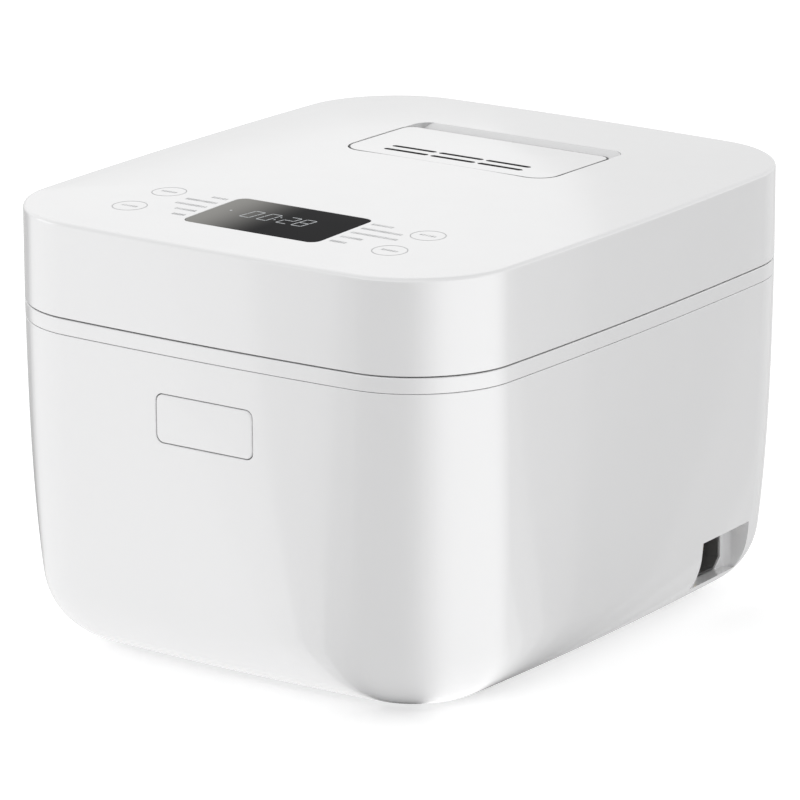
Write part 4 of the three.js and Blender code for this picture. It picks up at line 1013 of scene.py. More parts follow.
POCKET_Y = (SOCKET_MIDDLE.y - 28 * MM, SOCKET_MIDDLE.y + 18 * MM)
POCKET_Z = (SOCKET_MIDDLE.z - 9.2 * MM, SOCKET_MIDDLE.z + 16.8 * MM)
VENT_LOW, VENT_HIGH = span("vent_cover")
VENT_MARGIN = 0.6 * MM
VENT_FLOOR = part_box("vent_gasket")[0].z - GAP
DUCT = (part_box("steam_duct")[0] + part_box("steam_duct")[1]) / 2
DUCT_RADIUS = 11.5 * MM
SCOOP_LENGTH = 13.6 * MM
SCOOP_HALF = 63 * MM
SCOOP_DEPTH = 12 * MM
SLOT_LENGTH = 27.8 * MM
SLOT_WIDTH = 3.2 * MM
# Width and depth of the dark lip that paints the shade in the gap round the vent cover
GAP_SHADE_WIDTH = 0.6 * MM
GAP_SHADE_DEPTH = 0.12 * MM
SLOT_ROWS_Y = VENT_LOW.y - VENT_MARGIN + 15 * MM
WINDOW_LOW, WINDOW_HIGH = span("display_window")
POT_LOW, POT_HIGH = span("inner_pot")
POT_WALL = 2 * MM
POT_RADIUS = POT_HIGH.x - 10 * MM


def on_front(x, z):
    """Height of the front surface, measured forwards from the middle."""
    down = np.maximum(0.0, SEAM - z) / (SEAM - UNDERSIDE)
    inset = TAPER * down**3
    return HALF_Y - inset + BULGE * (1 - (x / (HALF_X - inset)) ** 2)


def button_outline(margin):
    across, up = BUTTON_HALF[0] - margin, BUTTON_HALF[1] - margin
    return rounded((-across, across), (BUTTON_Z - up, BUTTON_Z + up), BUTTON_CORNER)


def socket_outline(margin, corner=6 * MM):
    """The inlet's flange in y and z, with its two lower corners cut off."""
    low_y, high_y = SOCKET_LOW.y + margin, SOCKET_HIGH.y - margin
    low_z, high_z = SOCKET_LOW.z + margin, SOCKET_HIGH.z - margin
    return [(low_y, high_z), (low_y, low_z + corner), (low_y + corner, low_z), (high_y - corner, low_z),
            (high_y, low_z + corner), (high_y, high_z)]


def vent_outline(margin):
    across = VENT_HIGH.x + VENT_MARGIN - margin
    along = (VENT_LOW.y - VENT_MARGIN + margin, VENT_HIGH.y + VENT_MARGIN - margin)
    return rounded((-across, across), along, 13 * MM - margin, 6 * MM)


def window_outline(margin):
    across = WINDOW_HIGH.x + GAP - margin
    along = (WINDOW_LOW.y - GAP + margin, WINDOW_HIGH.y + GAP - margin)
    return rounded((-across, across), along, 5.5 * MM)


def hinge_slots(margin, y_span, z_span):
    """Clearance slots round the two hinge brackets."""
    slots = []
    for side in ("left", "right"):
        low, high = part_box(f"hinge_bracket_{side}")
        middle = (low.x + high.x) / 2
        half = 1.5 * MM + margin
        slots.append(block("slot", (middle - half, middle + half), y_span, z_span))
    return slots


# ---------- Body mouldings ----------


def shell_moulding():
    profile = body_profile()
    inset = profile[0][0]
    rings = []
    for angle in np.radians(np.linspace(90, 0, 4)):
        rings.append(outline(inset + SEAM_EDGE * (1 - math.cos(angle)),
                             SHELL_TOP - SEAM_EDGE * (1 - math.sin(angle))))
    rings += [outline(i, z) for i, z in profile[1:]]
    rings += [outline(i, z) for i, z in reversed(thickened(profile, WALL))]
    shell = as_piece("shell_moulding", skinned("shell_moulding", rings, True))
    blank = as_piece("blank", skinned("blank", [outline(i + WALL / 4, z) for i, z in profile], False))
    walls = block("pocket", (PANEL_X - WALL, PANEL_X + 40 * MM), (POCKET_Y[0] - WALL, POCKET_Y[1] + WALL),
                  (POCKET_Z[0] - WALL, POCKET_Z[1] + WALL))
    walls = kept_inside(walls, blank)
    join_in(shell, walls)
    plan = [(PANEL_X, POCKET_Y[0]), (PANEL_X + 60 * MM, POCKET_Y[0]), (PANEL_X + 60 * MM, POCKET_Y[1]),
            (PANEL_X, POCKET_Y[1])]
    pocket = prism("pocket", eased(plan, 5 * MM, 8), POCKET_Z)
    mouth = prism("mouth", socket_outline(-GAP), (SOCKET_LOW.x - GAP, PANEL_X + MM), "x")
    window = surface_cutter(button_outline, on_front, HALF_Y - 20 * MM, SEAM_EDGE, "y", -1)
    return placed(cut_out(shell, pocket, mouth, window), "root", "white_shell", "outer_shell")


def kept_inside(piece, limit):
    step = piece.modifiers.new("limit", "BOOLEAN")
    step.operation = "INTERSECT"
    step.solver = "EXACT"
    step.object = limit
    baked(piece)
    bpy.data.objects.remove(limit)
    return piece


def deck_moulding():
    lip, rim, low = WALL + GAP, 5 * MM, SHELL_TOP + GAP / 2
    slope, skirt, skirt_foot = rim + 1.5 * MM, lip + 2 * MM, SHELL_TOP - 6 * MM
    section = [(0, low), (0, COLLAR_TOP), (rim, COLLAR_TOP), (slope, DECK), (slope, DECK_UNDERSIDE),
               (skirt, DECK_UNDERSIDE), (skirt, skirt_foot), (lip, skirt_foot), (lip, low)]
    rings = [outline(i, z) for i, z in eased(section, 0.6 * MM, 4)]
    deck = as_piece("deck_moulding", skinned("deck_moulding", rings, True))
    panel = as_piece("panel", skinned(
        "panel", [outline(rim + MM, DECK_UNDERSIDE), outline(rim + MM, DECK)], False))
    join_in(deck, panel)
    radius, edge = POT_RADIUS + 3 * MM, 0.6 * MM
    well = turned("well", [(0, 0), (radius, 0), (radius, DECK - edge),
                           *fillet_arc(radius + edge, DECK - edge, edge, 180, 90, 5),
                           (radius + edge, LID_TOP), (0, LID_TOP)], (*POT_CENTRE, 0))
    notch = block("notch", (-HINGE_HALF - GAP, HINGE_HALF + GAP), (HINGE.y - HINGE_BACK - 2 * MM, FAR),
                  (DECK, LID_TOP))
    slots = hinge_slots(GAP, (HINGE.y - KNUCKLE - GAP, HINGE.y + KNUCKLE + GAP), (0, LID_TOP))
    latch = block("latch", (-LATCH_SLOT_X, LATCH_SLOT_X), LATCH_SLOT_Y, (0, LID_TOP))
    return placed(cut_out(deck, well, notch, latch, *slots), "root", "white_shell", "deck_ring")


def push_plate_moulding():
    back = BUTTON_LOW.y + WALL + GAP + 0.5 * MM
    thickness = 1.5 * MM
    face = surface_plate("push_plate_moulding", lambda m: button_outline(m + GAP), on_front,
                         -(back + thickness), 0.5 * MM, "y", -1)
    flange = prism("flange", button_outline(-FLANGE_MARGIN), (back, back + thickness), "y")
    stem = [(0.0, back), (3 * MM, back), (3 * MM, BUTTON_HIGH.y - 3 * MM), (1.5 * MM, BUTTON_HIGH.y - 3 * MM),
            (1.5 * MM, BUTTON_HIGH.y), (0.0, BUTTON_HIGH.y)]
    rod_piece = turned("stem", eased(stem, 0.3 * MM), (0, 0, 0), 48)
    rod_piece.data.transform(Matrix.Translation((0, 0, BUTTON_Z)) @ Matrix.Rotation(-math.pi / 2, 4, "X"))
    piece = join_in(face, flange, rod_piece)
    return placed(piece, "release_button", "white_shell", "push_plate")


def base_moulding():
    """Bottom plate with its screw sinks, stud holes and air slots."""
    low, high = BASE_LOW.z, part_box("base_plate")[1].z
    parting = body_profile()[-1][0]
    thickness = 2.6 * MM
    flange = low + thickness + 1.4 * MM
    section = [(parting + GAP, low), (parting + GAP, low + thickness), (parting + 4 * MM, low + thickness),
               (parting + 4 * MM, flange), (parting - 2 * MM, flange), (parting - 2 * MM, flange + 2 * MM)]
    rings = [outline(i, z) for i, z in section]
    plate = as_piece("base_moulding", skinned("base_moulding", rings, False))
    board_low, board_high = span("power_board")
    posts = []
    for x in (board_low.x + 6 * MM, board_high.x - 6 * MM):
        for y in (board_low.y + 6 * MM, board_high.y - 6 * MM):
            posts.append(turned("post", [(0, low + MM), (3 * MM, low + MM), (3 * MM, high), (0, high)],
                                (x, y, 0), 32))
    join_in(plate, *posts)
    tools = []
    through = 30 * MM
    for place in QUARTERS:
        for node, radius, top in ((f"foot_{place}", 3.4 * MM, through),
                                  (f"base_screw_{place}", 2 * MM, through),
                                  (f"base_screw_{place}", 3.6 * MM, low + 2.2 * MM)):
            middle = (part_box(node)[0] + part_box(node)[1]) / 2
            tools.append(turned("hole", [(0, -MM), (radius, -MM), (radius, top), (0, top)],
                                (middle.x, middle.y, 0), 32))
    slots = CAPSULES.make("slots", FINISHES["white_inner"], length=40 * MM, width=4 * MM, depth=30 * MM,
                          columns=1, rows=5, row_pitch=12 * MM)
    tools.append(moved(slots, 0, 64 * MM, -MM, (math.pi / 2, "Z")))
    return placed(cut_out(plate, *tools), "root", "white_inner", "base_plate")


def feet():
    for place in QUARTERS:
        node = f"foot_{place}"
        placed(turned_afresh(f"rubber_foot_{place}", node, 0.5 * MM, 64), "root", "grey_rubber", node)


def screw_sets():
    base = [f"base_screw_{place}" for place in QUARTERS]
    lid = [f"lid_screw_{place}" for place in QUARTERS]
    for name, body, nodes in (("base_screws", "root", base), ("lid_screws", "lid", lid)):
        boxes = [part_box(node) for node in nodes]
        low = Vector([min(b[0][k] for b in boxes) for k in range(3)])
        high = Vector([max(b[1][k] for b in boxes) for k in range(3)])
        head = (boxes[0][1].x - boxes[0][0].x) / 2
        thickness = 1.6 * MM if body == "root" else 1.4 * MM
        screws = SCREWS.make(name, FINISHES["zinc_steel"], head_radius=head, head_height=thickness,
                             shank=(high.z - low.z - thickness), across=high.x - low.x - 2 * head,
                             along=high.y - low.y - 2 * head)
        moved(screws, (low.x + high.x) / 2, (low.y + high.y) / 2, low.z)
        placed(soften(screws, 0.15 * MM, 60), body, "zinc_steel", *nodes)


# ---------- Pot and what heats it ----------


def pot():
    """Pot with a rolled flange and a rounded bottom."""
    bottom, top = POT_LOW.z, POT_HIGH.z
    corner = 26 * MM
    r = POT_RADIUS
    outside = fillet_arc(r - corner, bottom + corner, corner, -90, 0, 16)
    inside = fillet_arc(r - corner, bottom + corner, corner - POT_WALL, 0, -90, 16)
    flange = POT_HIGH.x
    neck, neck_height = 1.2 * MM, top - POT_WALL - 1.2 * MM
    rim = [(r, neck_height), *fillet_arc(r + neck, neck_height, neck, 180, 90, 4),
           *fillet_arc(flange - MM, top - MM, MM, -90, 90, 8),
           *fillet_arc(r + MM, top - 3 * MM, 3 * MM, 90, 180, 8)]
    pot_piece = turned("cooking_pot", [(0, bottom), *outside, *rim, *inside, (0, bottom + POT_WALL)],
                       (*POT_CENTRE, 0), 160)
    placed(pot_piece, "root", "pot_coating", "inner_pot")


def level_marks():
    """Water scale inside the pot: long and short dashes with their plain row spacing, bent to the wall."""
    reach = POT_RADIUS - POT_WALL
    long_marks = PRINTED_DASHES.make(
        "long", PALE_INK, dash=9 * MM, dash_height=0.6 * MM, columns=1, rows=5, row_pitch=14 * MM,
        shortest=1, longest=1, thickness=0.16 * MM)
    short_marks = PRINTED_DASHES.make(
        "short", PALE_INK, dash=4 * MM, dash_height=0.5 * MM, columns=1, rows=9, row_pitch=7 * MM,
        shortest=1, longest=1, thickness=0.16 * MM, seed=5)
    moved(short_marks, 0, 0, 0)
    marks = gathered("level_marks", long_marks, short_marks)
    middle = (POT_LOW.z + POT_HIGH.z) / 2 + 12 * MM
    for vertex in marks.data.vertices:
        u, v, w = vertex.co
        angle = math.radians(60) + u / reach
        distance = reach - w
        vertex.co = (POT_CENTRE[0] + distance * math.cos(angle), POT_CENTRE[1] + distance * math.sin(angle),
                     middle + v)
    marks.data.materials.append(PALE_INK)
    placed(marks, "root", "pot_coating")


def heater():
    low, high = span("heating_element")
    radius = 4 * MM
    reach = high.x - radius
    middle = (low.z + high.z) / 2
    path = [(POT_CENTRE[0] + reach * math.cos(a), POT_CENTRE[1] + reach * math.sin(a), middle)
            for a in np.radians(np.linspace(-70, 250, 120))]
    placed(swept("heater_tube", path, radius, 28), "root", "steel", "heating_element")
    placed(dressed("cast_heating_plate", "heating_plate", 0.5 * MM), "root", "aluminium", "heating_plate")


def springs():
    """The three coil springs, each with its own size and lie."""
    for name, node, axis, wire in (("sensor_coil", "sensor_spring", "z", 0.7 * MM),
                                   ("button_coil", "button_spring", "y", 0.5 * MM),
                                   ("hinge_coil", "hinge_spring", "x", 0.6 * MM)):
        low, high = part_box(node)
        middle = (low + high) / 2
        along = "xyz".index(axis)
        across = (high - low)[(along + 1) % 3] / 2 - wire
        length = (high - low)[along] - 2 * wire
        turns = 6.0 if node == "hinge_spring" else 4.0
        coil = SPRING.make(name, FINISHES["steel"], radius=across, height=length, turns=turns, wire=wire)
        coil.data.transform(Matrix.Translation((0, 0, -length / 2)))
        turn = {"z": None, "y": (-math.pi / 2, "X"), "x": (math.pi / 2, "Y")}[axis]
        moved(coil, *middle, turn)
        placed(coil, "root", "steel", node)


def lead():
    """Internal lead from the inlet to the terminal block."""
    low, high = span("mains_lead")
    radius = 2.6 * MM
    start = Vector((high.x, SOCKET_MIDDLE.y, SOCKET_MIDDLE.z))
    block_low, block_high = span("terminal_block")
    end = Vector((block_high.x + MM, (block_low.y + block_high.y) / 2, block_low.z + 5 * MM))
    route = [start, start + Vector((-14, 0, -2)) * MM, Vector((64, 76, 17)) * MM, Vector((36, 44, 15.5)) * MM,
             Vector((8, 20, 17)) * MM, end + Vector((7, 2, 0)) * MM, end]
    placed(swept("inlet_lead", smooth_path(route), radius, 24), "root", "lead_sheath", "mains_lead")


def inlet():
    """Socket body with a cavity that has two cut corners, and three flat pins."""
    y, z = SOCKET_MIDDLE.y, SOCKET_MIDDLE.z
    body = prism("inlet_body", socket_outline(0), (SOCKET_LOW.x, SOCKET_HIGH.x), "x")
    soften(body, 0.4 * MM)
    half_y, half_z, chamfer = 12 * MM, 7.85 * MM, 4.5 * MM
    shape = [(y - half_y, z + half_z), (y - half_y, z - half_z + chamfer), (y - half_y + chamfer, z - half_z),
             (y + half_y - chamfer, z - half_z), (y + half_y, z - half_z + chamfer), (y + half_y, z + half_z)]
    cavity = prism("cavity", eased(shape, 0.8 * MM, 4), (PANEL_X - 15 * MM, PANEL_X + 10 * MM), "x")
    pin_ways = []
    for pole in ("live", "earth", "neutral"):
        low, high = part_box(f"inlet_pin_{pole}")
        slack = GAP / 2
        pin_ways.append(block("way", (low.x - slack, high.x + slack), (low.y - slack, high.y + slack),
                              (low.z - slack, high.z + slack)))
    cut_out(body, cavity, *pin_ways)
    body.data.materials.clear()
    body.data.materials.append(CHARCOAL)
    placed(body, "root", "black_plastic", "inlet_socket")
    for pole in ("live", "earth", "neutral"):
        placed(dressed(f"pin_{pole}", f"inlet_pin_{pole}", 0.35 * MM), "root", "brass", f"inlet_pin_{pole}")


# ---------- Hinge and latch ----------


def hinge_moulding():
    """Round-tailed cover over the hinge."""
    ends = (-HINGE_HALF, HINGE_HALF)
    inner = (-HINGE_HALF + 2 * MM, HINGE_HALF - 2 * MM)
    section = [(0.0, ends[0]), (HINGE_BACK, ends[0]), (HINGE_BACK, ends[1]), (0.0, ends[1])]
    tail = turned("hinge_moulding", eased(section, MM, 5), (0, HINGE.y, HINGE.z), 96, axis="x")
    back = block("back", ends, (HINGE.y, FAR), (HINGE.z, HINGE_COVER_TOP))
    body = join_in(tail, back)
    limit = as_piece("limit", skinned("limit", [outline(0, UNDERSIDE), outline(0, LID_TOP)], False))
    kept_inside(body, limit)
    bore = rod("bore", HINGE_BACK - WALL, inner, (HINGE.y, HINGE.z), 96)
    join_in(bore, block("way", inner, (HINGE.y - HINGE_BACK - MM, FAR), (HINGE.z, HINGE_COVER_TOP + MM)))
    kept_inside(bore, as_piece("limit", skinned(
        "limit", [outline(WALL, UNDERSIDE), outline(WALL, LID_TOP)], False)))
    open_top = block("open", (-FAR, FAR), (0, HINGE.y), (HINGE.z, LID_TOP))
    slots = hinge_slots(1.5 * MM, (HINGE.y - KNUCKLE - 3 * MM, FAR), (0, HINGE.z + KNUCKLE + 2 * MM))
    return placed(cut_out(body, bore, open_top, *slots), "lid", "white_shell", "hinge_cover")


def hinge_hardware():
    for side in ("left", "right"):
        placed(dressed(f"bracket_{side}", f"hinge_bracket_{side}", 0.25 * MM), "root", "zinc_steel",
               f"hinge_bracket_{side}")
        placed(dressed(f"arm_{side}", f"hinge_arm_{side}", 0.25 * MM), "lid", "zinc_steel",
               f"hinge_arm_{side}")
    for name, node, edge in (("shaft", "hinge_shaft", 0.4 * MM), ("latch_pivot", "latch_pin", 0.3 * MM)):
        low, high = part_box(node)
        middle = (low + high) / 2
        radius = (high.z - low.z) / 2
        section = [(0.0, low.x), (radius, low.x), (radius, high.x), (0.0, high.x)]
        pin = turned(name, eased(section, edge), (0, middle.y, middle.z), 48, axis="x")
        placed(pin, "root", "steel", node)


# ---------- Lid mouldings ----------


def scoop_cutter():
    """Sloping finger hollow behind the vent cover."""
    rear = VENT_HIGH.y + VENT_MARGIN
    front, back = rear - 8 * MM, rear + SCOOP_LENGTH
    floor = LID_TOP - SCOOP_DEPTH
    side = [(front, floor), (rear + 2 * MM, floor), (back, LID_TOP - MM), (back, LID_TOP + 20 * MM),
            (front, LID_TOP + 20 * MM)]
    scoop = prism("scoop", eased(side, 1.5 * MM, 5), (-SCOOP_HALF, SCOOP_HALF), "x")
    plan = rounded((-SCOOP_HALF, SCOOP_HALF), (front - 20 * MM, back), 2 * MM, 9 * MM)
    return kept_inside(scoop, prism("plan", plan, (0, FAR)))


def duct_hole():
    profile = [(0, 0), (DUCT_RADIUS, 0), (DUCT_RADIUS, LID_TOP), (0, LID_TOP)]
    return turned("duct", profile, (DUCT.x, DUCT.y, 0), 64)


def lid_moulding():
    outer, inner = lid_rings(), lid_rings(WALL)
    edge = [outline(SEAM_EDGE * (1 - math.cos(a)), LID_BOTTOM + SEAM_EDGE * (1 - math.sin(a)))
            for a in np.radians(np.linspace(0, 90, 4))]
    rings = outer[:0:-1] + edge + inner
    lid = as_piece("lid_moulding", skinned("lid_moulding", rings, False))
    across = VENT_HIGH.x + VENT_MARGIN + WALL
    along = (VENT_LOW.y - VENT_MARGIN - WALL, VENT_HIGH.y + VENT_MARGIN + SCOOP_LENGTH + WALL)
    well = prism("well", rounded((-across, across), along, 13 * MM), (VENT_FLOOR - WALL, LID_EDGE + 0.9 * MM))
    join_in(lid, well)
    notch = block("notch", (-HINGE_HALF - GAP, HINGE_HALF + GAP), (HINGE.y - HINGE_BACK - 2 * MM, FAR),
                  (0, HINGE_COVER_TOP + GAP))
    vent = surface_cutter(vent_outline, crown_height, VENT_FLOOR, 0.15 * MM)
    window = surface_cutter(window_outline, crown_height, LID_EDGE - 20 * MM, 0.2 * MM)
    lid = cut_out(lid, vent, scoop_cutter(), window, notch, duct_hole())
    return placed(lid, "lid", "white_shell", "lid_cover")


def liner_moulding():
    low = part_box("lid_liner")[0].z
    lid_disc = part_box("inner_lid")[1].x + 8 * MM + 4 * MM
    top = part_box("lid_liner")[1].z
    wall = 2 * MM
    inset, bevel = WALL + GAP, 0.3 * MM
    rings = [outline(inset + bevel, low), outline(inset, low + bevel), outline(inset, low + wall)]
    plate = as_piece("liner_moulding", skinned("liner_moulding", rings, False))
    cup = [(0, low), (lid_disc + wall, low), (lid_disc + wall, top), (0, top)]
    join_in(plate, turned("cup", eased(cup, MM), (*POT_CENTRE, 0)))
    hollow = [(0, 0), (lid_disc + MM, 0), (lid_disc + MM, low), (lid_disc, low + MM), (lid_disc, top - wall),
              (0, top - wall)]
    tools = [
        turned("hollow", eased(hollow, 0.8 * MM), (*POT_CENTRE, 0)),
        block("relief", (-HINGE_HALF - GAP, HINGE_HALF + GAP), (HINGE.y - HINGE_BACK - GAP, FAR),
              (0, LID_TOP)),
        block("latch", (-LATCH_SLOT_X, LATCH_SLOT_X), LATCH_SLOT_Y, (0, LID_TOP)),
        duct_hole(),
    ]
    for place in QUARTERS:
        middle = (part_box(f"lid_screw_{place}")[0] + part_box(f"lid_screw_{place}")[1]) / 2
        tools.append(turned("hole", [(0, 0), (2 * MM, 0), (2 * MM, LID_TOP), (0, LID_TOP)],
                            (middle.x, middle.y, 0), 24))
    return placed(cut_out(plate, *tools), "lid", "white_inner", "lid_liner")


def inner_lid_pressing():
    """Pressed sheet with a raised ring, a turned-up edge and a ring of steam holes."""
    low, high = span("inner_lid")
    r, z, sheet = high.x, low.z, 1.2 * MM
    section = [(0, z + 3 * MM), (60 * MM, z + 2.2 * MM), (r - 6 * MM, z), (r, z), (r, z + 4 * MM),
               (r - sheet, z + 4 * MM), (r - sheet, z + sheet), (r - 6 * MM, z + sheet),
               (60 * MM, z + 2.2 * MM + sheet), (0, z + 3 * MM + sheet)]
    plate = turned("inner_lid_pressing", eased(section, MM, 4), (*POT_CENTRE, 0), 160)
    holes = []
    for i in range(6):
        angle = i * math.pi / 3
        centre = (6 * MM * math.cos(angle), DUCT.y + 6 * MM * math.sin(angle), 0)
        holes.append(turned("hole", [(0, 0), (1.6 * MM, 0), (1.6 * MM, LID_TOP), (0, LID_TOP)], centre, 24))
    return placed(cut_out(plate, *holes), "lid", "aluminium", "inner_lid")


def display():
    """Smoked panel with lit figures and a status dot."""
    back = WINDOW_LOW.z
    panel = surface_plate("display_panel", lambda m: window_outline(m + GAP / 2), crown_height, back,
                          0.25 * MM)
    placed(panel, "lid", "dark_glass", "display_window")
    figures = lit_figures()
    figures.data.materials.append(LIT)
    placed(on_crown(figures, 0.02 * MM), "lid", "dark_glass")


# Which of a figure's seven bars are lit: top, upper left, upper right, middle, lower left, lower right,
# bottom; then the figures with the x of each, and the size and slant they share
BARS_LIT = {"0": "1110111", "2": "1011101", "8": "1111111"}
FIGURES = (("0", -20.2 * MM), ("0", -10.0 * MM), ("2", 1.8 * MM), ("8", 10.8 * MM))
FIGURE_WIDTH = 5.8 * MM
FIGURE_HEIGHT = 11.4 * MM
FIGURE_BASE_Y = -110.6 * MM
FIGURE_SLANT = 0.16
BAR_THICKNESS = 0.55 * MM
COLON_X = -1.9 * MM


def lit_figures():
    """Seven-bar figures with a colon, leaning a little, and the status dot."""
    width, height, thick, lean = FIGURE_WIDTH, FIGURE_HEIGHT, BAR_THICKNESS, FIGURE_SLANT
    base_y = FIGURE_BASE_Y
    half = height / 2
    places = [((0, 2), (1, 2)), ((0, 1), (0, 2)), ((1, 1), (1, 2)), ((0, 1), (1, 1)), ((0, 0), (0, 1)),
              ((1, 0), (1, 1)), ((0, 0), (1, 0))]
    parts = []

    def bar(start, end):
        along = np.array(end) - np.array(start)
        length = np.linalg.norm(along)
        along = along / length
        across = np.array([-along[1], along[0]]) * thick / 2
        trim = thick * 0.62
        a, b = np.array(start) + along * trim * 0.35, np.array(end) - along * trim * 0.35
        inner_a, inner_b = np.array(start) + along * trim, np.array(end) - along * trim
        shape = [a, inner_a - across, inner_b - across, b, inner_b + across, inner_a + across]
        return [(u + lean * (v - base_y), v) for u, v in shape]

    def add(shape):
        parts.append(prism("bar", shape, (-0.05 * MM, 0.05 * MM)))

    for figure, x in FIGURES:
        for lit, (start, end) in zip(BARS_LIT[figure], places):
            if lit == "1":
                corner = [(x + u * width, base_y + v * half) for u, v in (start, end)]
                add(bar(*corner))
    for share in (0.3, 0.7):
        y = base_y + share * height
        x = COLON_X + lean * (y - base_y)
        add(rounded((x - 0.45 * MM, x + 0.45 * MM), (y - 0.45 * MM, y + 0.45 * MM), 0.2 * MM, steps=3))
    add(rounded((-30.6 * MM, -29.2 * MM), (-104.9 * MM, -103.5 * MM), 0.69 * MM, steps=6))
    return gathered("lit_figures", *parts)


# Spacing of the printed lines and of their dashes, and the lines' lengths beside the display, front to rear
LINE_PITCH = 8.6 * MM
DASH_PITCH = 1.6 * MM
LEFT_LINES = (8 * MM, 13 * MM, 19 * MM, 20 * MM, 9 * MM)
RIGHT_LINES = (10 * MM, 13 * MM, 27 * MM, 24 * MM, 12 * MM)


def panel_print():
    """Key circles, key captions and programme lines, as plain dashes in place of words."""
    parts = []
    for place in QUARTERS:
        low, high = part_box(f"touch_pad_{place}")
        x, y = (low.x + high.x) / 2, (low.y + high.y) / 2
        parts.append(moved(PRINTED_RING.make("ring", GREY_INK), x, y))
        parts.append(moved(PRINTED_DASHES.make(
            "caption", GREY_INK, dash=0.7 * MM, dash_height=2.0 * MM, columns=6, rows=1, pitch=DASH_PITCH,
            shortest=6, longest=6, seed=len(parts)), x, y))
    middle = (WINDOW_LOW.y + WINDOW_HIGH.y) / 2 + 0.4 * MM
    for hand, side, lengths in (("left", -1, LEFT_LINES), ("right", 1, RIGHT_LINES)):
        for row, length in enumerate(lengths):
            columns = round(length / DASH_PITCH)
            line = PRINTED_DASHES.make(
                hand, GREY_INK, columns=columns, rows=1, pitch=DASH_PITCH, dash=0.8 * MM,
                dash_height=2.5 * MM, shortest=columns, longest=columns, seed=row)
            x = side * (WINDOW_HIGH.x + 3.5 * MM + columns * DASH_PITCH / 2)
            parts.append(moved(line, x, middle + (row - 2) * LINE_PITCH))
    print_piece = gathered("panel_print", *parts)
    print_piece.data.materials.append(GREY_INK)
    placed(on_crown(print_piece, 0.0), "lid", "white_shell")


# ---------- Vent unit ----------


def vent_moulding():
    edge = VENT_MARGIN + GAP_SHADE_WIDTH
    plate = surface_plate("vent_moulding", lambda m: vent_outline(m + edge), crown_height, VENT_LOW.z,
                          0.15 * MM)
    slots = CAPSULES.make("slots", FINISHES["white_shell"], length=SLOT_LENGTH, width=SLOT_WIDTH)
    moved(slots, 0, SLOT_ROWS_Y, VENT_LOW.z - 3 * MM)
    return placed(cut_out(plate, slots), "vent_unit", "white_shell", "vent_cover")


def vent_gap_shade():
    """Dark lip round the vent cover, just below its face: painted shade that fills the gap round the cover.
    """
    lip = surface_plate("vent_gap_shade", lambda m: vent_outline(m + VENT_MARGIN - 0.2 * MM),
                        lambda x, y: crown_height(x, y) - GAP_SHADE_DEPTH, VENT_LOW.z + MM, 0.1 * MM)
    middle = prism("middle", vent_outline(VENT_MARGIN + GAP_SHADE_WIDTH - 0.02 * MM), (0, FAR))
    placed(cut_out(lip, middle), "vent_unit", "black_plastic")


def slot_shade_sleeves():
    """Thin dark sleeves in the steam slots, a little below the cover's face: painted shade of the slots'
    depths.
    """
    height = 2.4 * MM
    sleeves = CAPSULES.make("slot_shade_sleeves", FINISHES["black_plastic"], length=SLOT_LENGTH - 0.05 * MM,
                            width=SLOT_WIDTH - 0.05 * MM, depth=height)
    bores = CAPSULES.make("bores", FINISHES["black_plastic"], length=SLOT_LENGTH - 0.7 * MM,
                          width=SLOT_WIDTH - 0.7 * MM, depth=height + 4 * MM)
    moved(sleeves, 0, SLOT_ROWS_Y, -height)
    moved(bores, 0, SLOT_ROWS_Y, -height - 2 * MM)
    # Painted shade: the dark sleeves darken the slots' walls
    painted_slot_shade = on_crown(cut_out(sleeves, bores), -0.1 * MM)
    placed(painted_slot_shade, "vent_unit", "black_plastic")


def turned_parts():
    """The round pieces that need only a finer turning and eased edges."""
    for name, node, body in (
        ("heat_shield", "cooking_chamber", "root"),
        ("sensor_guide", "sensor_sleeve", "root"),
        ("sensor_head", "sensor_cap", "sensor"),
        ("lid_seal", "seal_ring", "lid"),
        ("duct_pipe", "steam_duct", "lid"),
        ("duct_gasket", "steam_gasket", "lid"),
        ("tray_gasket", "vent_gasket", "vent_unit"),
        ("key_pad_front_left", "touch_pad_front_left", "lid"),
        ("key_pad_front_right", "touch_pad_front_right", "lid"),
        ("key_pad_rear_left", "touch_pad_rear_left", "lid"),
        ("key_pad_rear_right", "touch_pad_rear_right", "lid"),
    ):
        placed(turned_afresh(name, node), body, SLOT_OF[node], node)


def cut_parts():
    """The square-cut pieces, with their edges eased."""
    for name, node, body, edge in (
        ("latch_cradle", "latch_frame", "root", 0.2),
        ("latch_lever", "latch_hook", "latch", 0.25),
        ("strike_plate", "latch_strike", "lid", 0.25),
        ("coil_and_core", "transformer", "root", 0.3),
        ("relay_case", "relay", "root", 0.4),
        ("terminal_strip", "terminal_block", "root", 0.3),
        ("board_below", "power_board", "root", 0.1),
        ("board_above", "control_board", "lid", 0.1),
        ("display_case", "display_module", "lid", 0.3),
        ("tray", "vent_tray", "vent_unit", 0.2),
    ):
        placed(dressed(name, node, edge * MM), body, SLOT_OF[node], node)


def dress_remaining_nodes():
    for name, node in frame["nodes"].items():
        if node.hide_render:
            continue
        for place in node.material_slots:
            place.material = FINISHES[SLOT_OF[name]]


# ---------- Studio ----------


def camera():
    turn, lift = math.radians(CAMERA_AZIMUTH), math.radians(CAMERA_ELEVATION)
    away = Vector((math.sin(turn) * math.cos(lift), -math.cos(turn) * math.cos(lift), math.sin(lift)))
    data = bpy.data.cameras.new("camera")
    data.lens = CAMERA_LENS
    data.sensor_width = 36
    data.clip_end = 50
    seat = bpy.data.objects.new("camera", data)
    bpy.context.scene.collection.objects.link(seat)
    seat.location = CAMERA_TARGET + away * CAMERA_DISTANCE
    facing = (-away).to_track_quat("-Z", "Y").to_matrix().to_4x4()
    roll = Matrix.Rotation(math.radians(CAMERA_ROLL), 4, "Z")
    seat.rotation_euler = (facing @ roll).to_euler()
    bpy.context.scene.camera = seat


